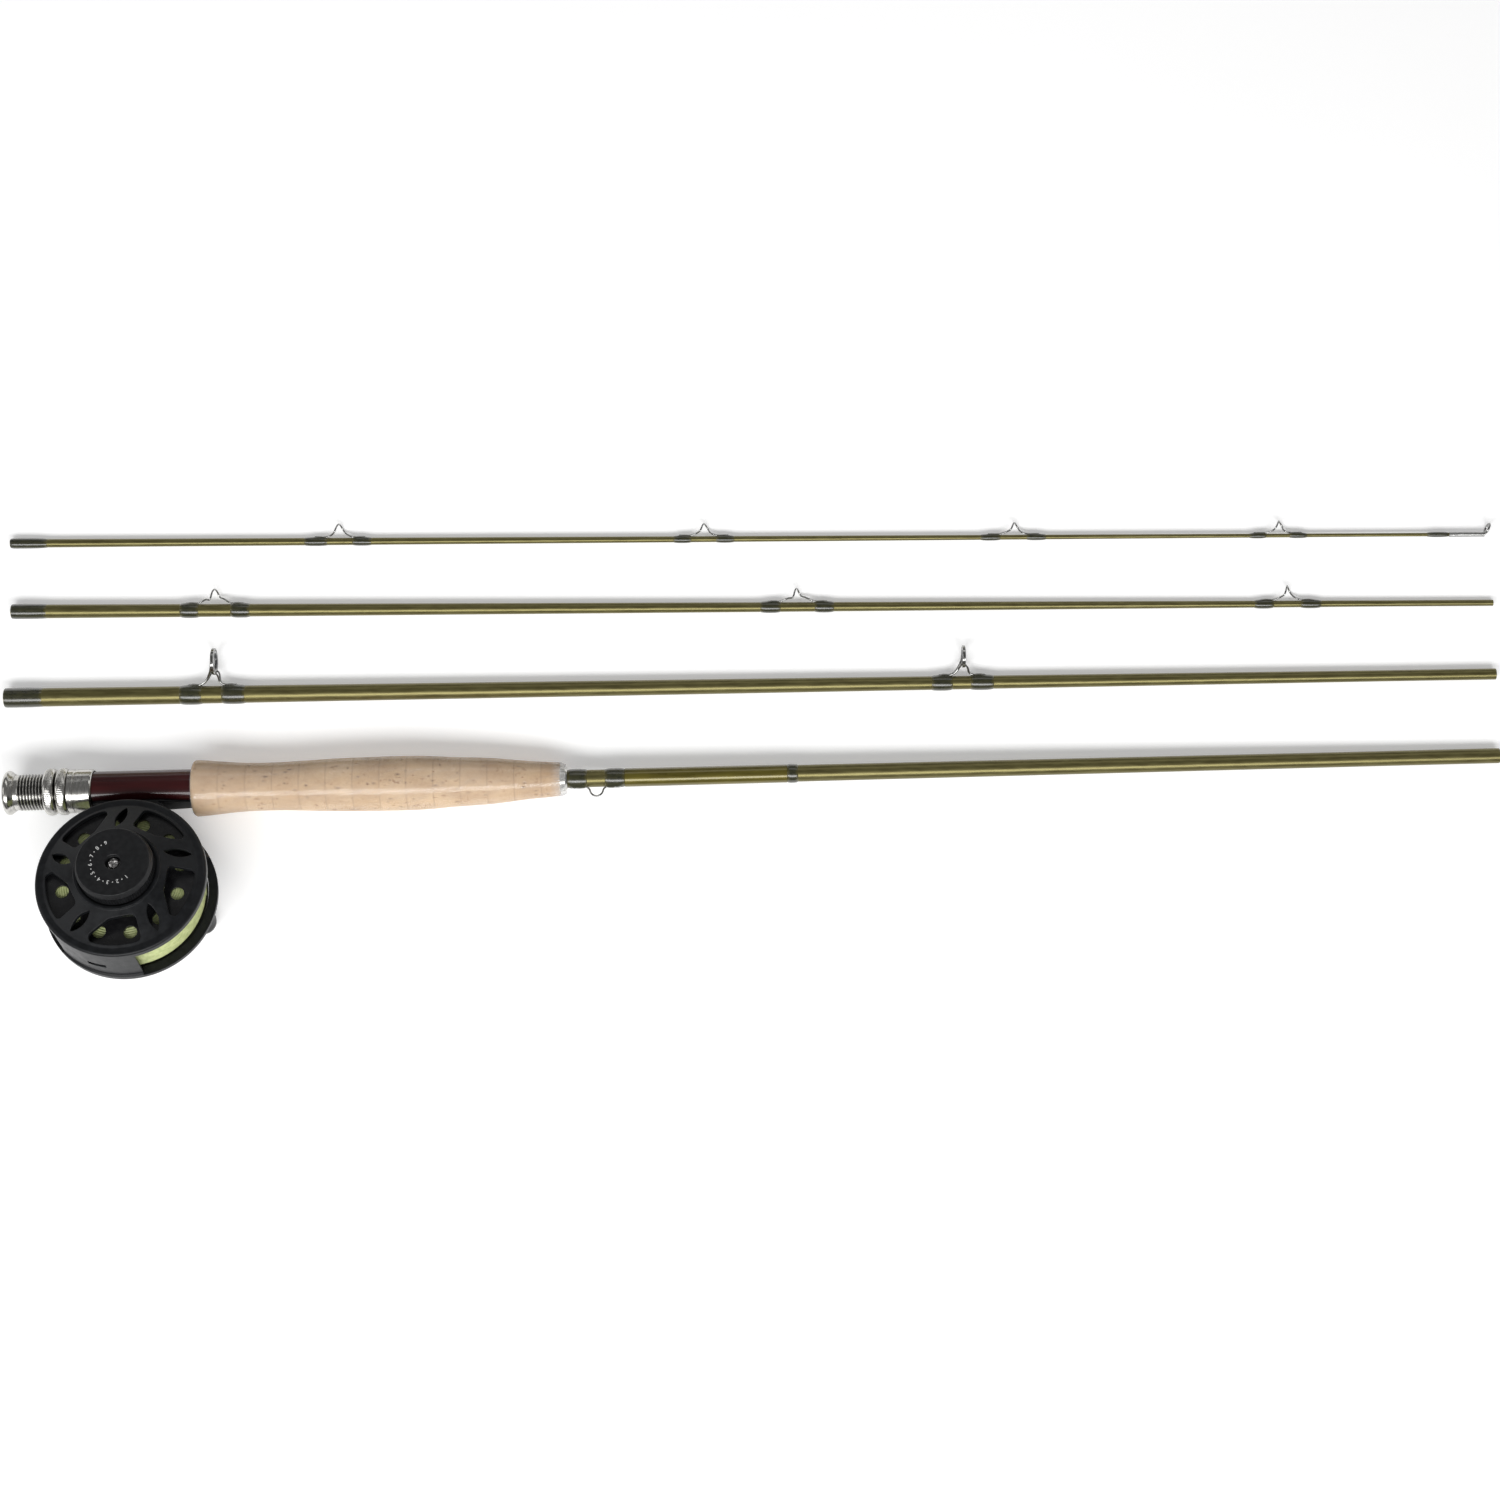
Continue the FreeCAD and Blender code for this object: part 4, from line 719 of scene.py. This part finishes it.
def coil(radius, turns, start, pitch, thickness, wander, first_angle=0.0, sides=8):
    """A helix of round line about X, whose turns wander a little from side to side."""
    per_turn = 90
    points, faces = [], []
    count = int(per_turn * turns)
    for i in range(count + 1):
        angle = first_angle + 2 * math.pi * i / per_turn
        turn = i / per_turn
        sway = sum(wander * math.sin((0.31 + 0.17 * k) * angle + 1.7 * k) for k in range(3))
        along = start + pitch * turn + sway
        lift = 0.05 * math.sin(0.73 * angle)
        for side in range(sides):
            spin = 2 * math.pi * side / sides
            reach = radius + lift + thickness / 2 * math.cos(spin)
            points.append((along + thickness / 2 * math.sin(spin), reach * math.cos(angle),
                           reach * math.sin(angle)))
    for i in range(count):
        faces += band(i * sides, (i + 1) * sides, sides)
    faces.append(tuple(range(sides))[::-1])
    faces.append(tuple(count * sides + side for side in range(sides)))
    return points, faces


def wound_line():
    """The line on its drum: packed turns at both sides, an outer layer of turns and a few crossing it."""
    back, front, drum, packed_radius = turned_size("fly_line", SPINDLE)
    fuller = 1.4  # the photo's line reaches this much nearer the rims than the plain CAD annulus
    outside = packed_radius + fuller
    thickness = 1.15
    layers = int((outside - drum - thickness) / thickness)
    chance = random.Random(3)
    heart = []
    for i in range(layers):
        centre = drum + thickness * (i + 0.5)
        ease = chance.uniform(0.0, 0.12)
        heart += arc((front - thickness / 2 - 0.02 - ease, centre), thickness / 2, -80, 80, 5)
    top = heart[-1][1]
    heart += [(front - thickness, top + 0.15), (back + thickness, top + 0.15)]
    for i in reversed(range(layers)):
        heart += arc((back + thickness / 2 + 0.02, drum + thickness * (i + 0.5)), thickness / 2, 100, 260, 5)
    heart += [(back + 0.4, drum + 0.02), (front - 0.4, drum + 0.02)]
    packed = lathe(heart, 120)
    turns = (front - back - thickness * 1.3) / (thickness * 0.99)
    outer = coil(outside - thickness * 0.62, turns, back + thickness * 0.65, thickness * 0.99, thickness,
                 0.05)
    crossing = [coil(outside - thickness * 0.40, 1.6, back + 3.5 + 4.2 * i, 3.1 - 0.5 * i, thickness * 0.95,
                     0.2, 1.3 * i) for i in range(4)]
    piece("wound_line", SPINDLE, *joined(packed, outer, *crossing), LINE, "spool", "fly_line", ["fly_line"])


KNOB_FRONT = drag_knob()
knob_screw()
dial(KNOB_FRONT)
wound_line()


# ---------------------------------------------------------------------------------------------------
# Floor, light and camera


# the camera looks straight down on the middle of the layout, this far along and across from the butt end
CAMERA_ALONG, CAMERA_ACROSS, CAMERA_HEIGHT = 0.3569, 0.0207, 1.27
LENS_MM, SENSOR_MM = 62.68, 36
FLOOR_GLOW, AMBIENT = 0.30, 0.16
LAMPS = [  # name, place, width, depth, watts
    ("key", (-0.10, -0.90, 1.35), 2.4, 0.62, 33),
    ("fill", (0.25, 1.45, 0.9), 1.8, 0.5, 3),
    ("end", (-1.7, 0.2, 1.1), 0.8, 0.8, 3),
]


def studio():
    """A pale floor that glows a little, soft lamps, and the camera over the middle of the layout."""
    butt_end = MOUNTS["butt_end"]["pos_m"]
    middle = Vector((butt_end[0] + CAMERA_ALONG, butt_end[1] + CAMERA_ACROSS, 0))
    bpy.ops.mesh.primitive_plane_add(size=8, location=(0, 0, -0.0002))
    floor = bpy.context.object
    floor.name = "floor"
    material, _, shader = surface("pale_floor", (0.84, 0.84, 0.84), (0.86, 0.86, 0.86), 0.9, scale=3)
    shader.inputs["Emission Color"].default_value = (1, 1, 1, 1)
    shader.inputs["Emission Strength"].default_value = FLOOR_GLOW
    floor.data.materials.append(material)
    world = bpy.data.worlds.new("studio")
    world.use_nodes = True
    background = world.node_tree.nodes["Background"]
    background.inputs["Color"].default_value = (1, 1, 1, 1)
    background.inputs["Strength"].default_value = AMBIENT
    bpy.context.scene.world = world
    bpy.context.scene.view_settings.view_transform = "Standard"
    for name, place, width, depth, power in LAMPS:
        light = bpy.data.lights.new(name, "AREA")
        light.shape = "RECTANGLE"
        light.size, light.size_y, light.energy = width, depth, power
        lamp = bpy.data.objects.new(name, light)
        lamp.location = place
        lamp.rotation_euler = (middle - Vector(place)).to_track_quat("-Z", "Y").to_euler()
        bpy.context.scene.collection.objects.link(lamp)
    camera = bpy.data.cameras.new("camera")
    camera.lens = LENS_MM
    camera.sensor_width = SENSOR_MM
    viewer = bpy.data.objects.new("camera", camera)
    viewer.location = middle + Vector((0, 0, CAMERA_HEIGHT))
    bpy.context.scene.collection.objects.link(viewer)
    bpy.context.scene.camera = viewer


studio()
bpy.context.view_layer.update()
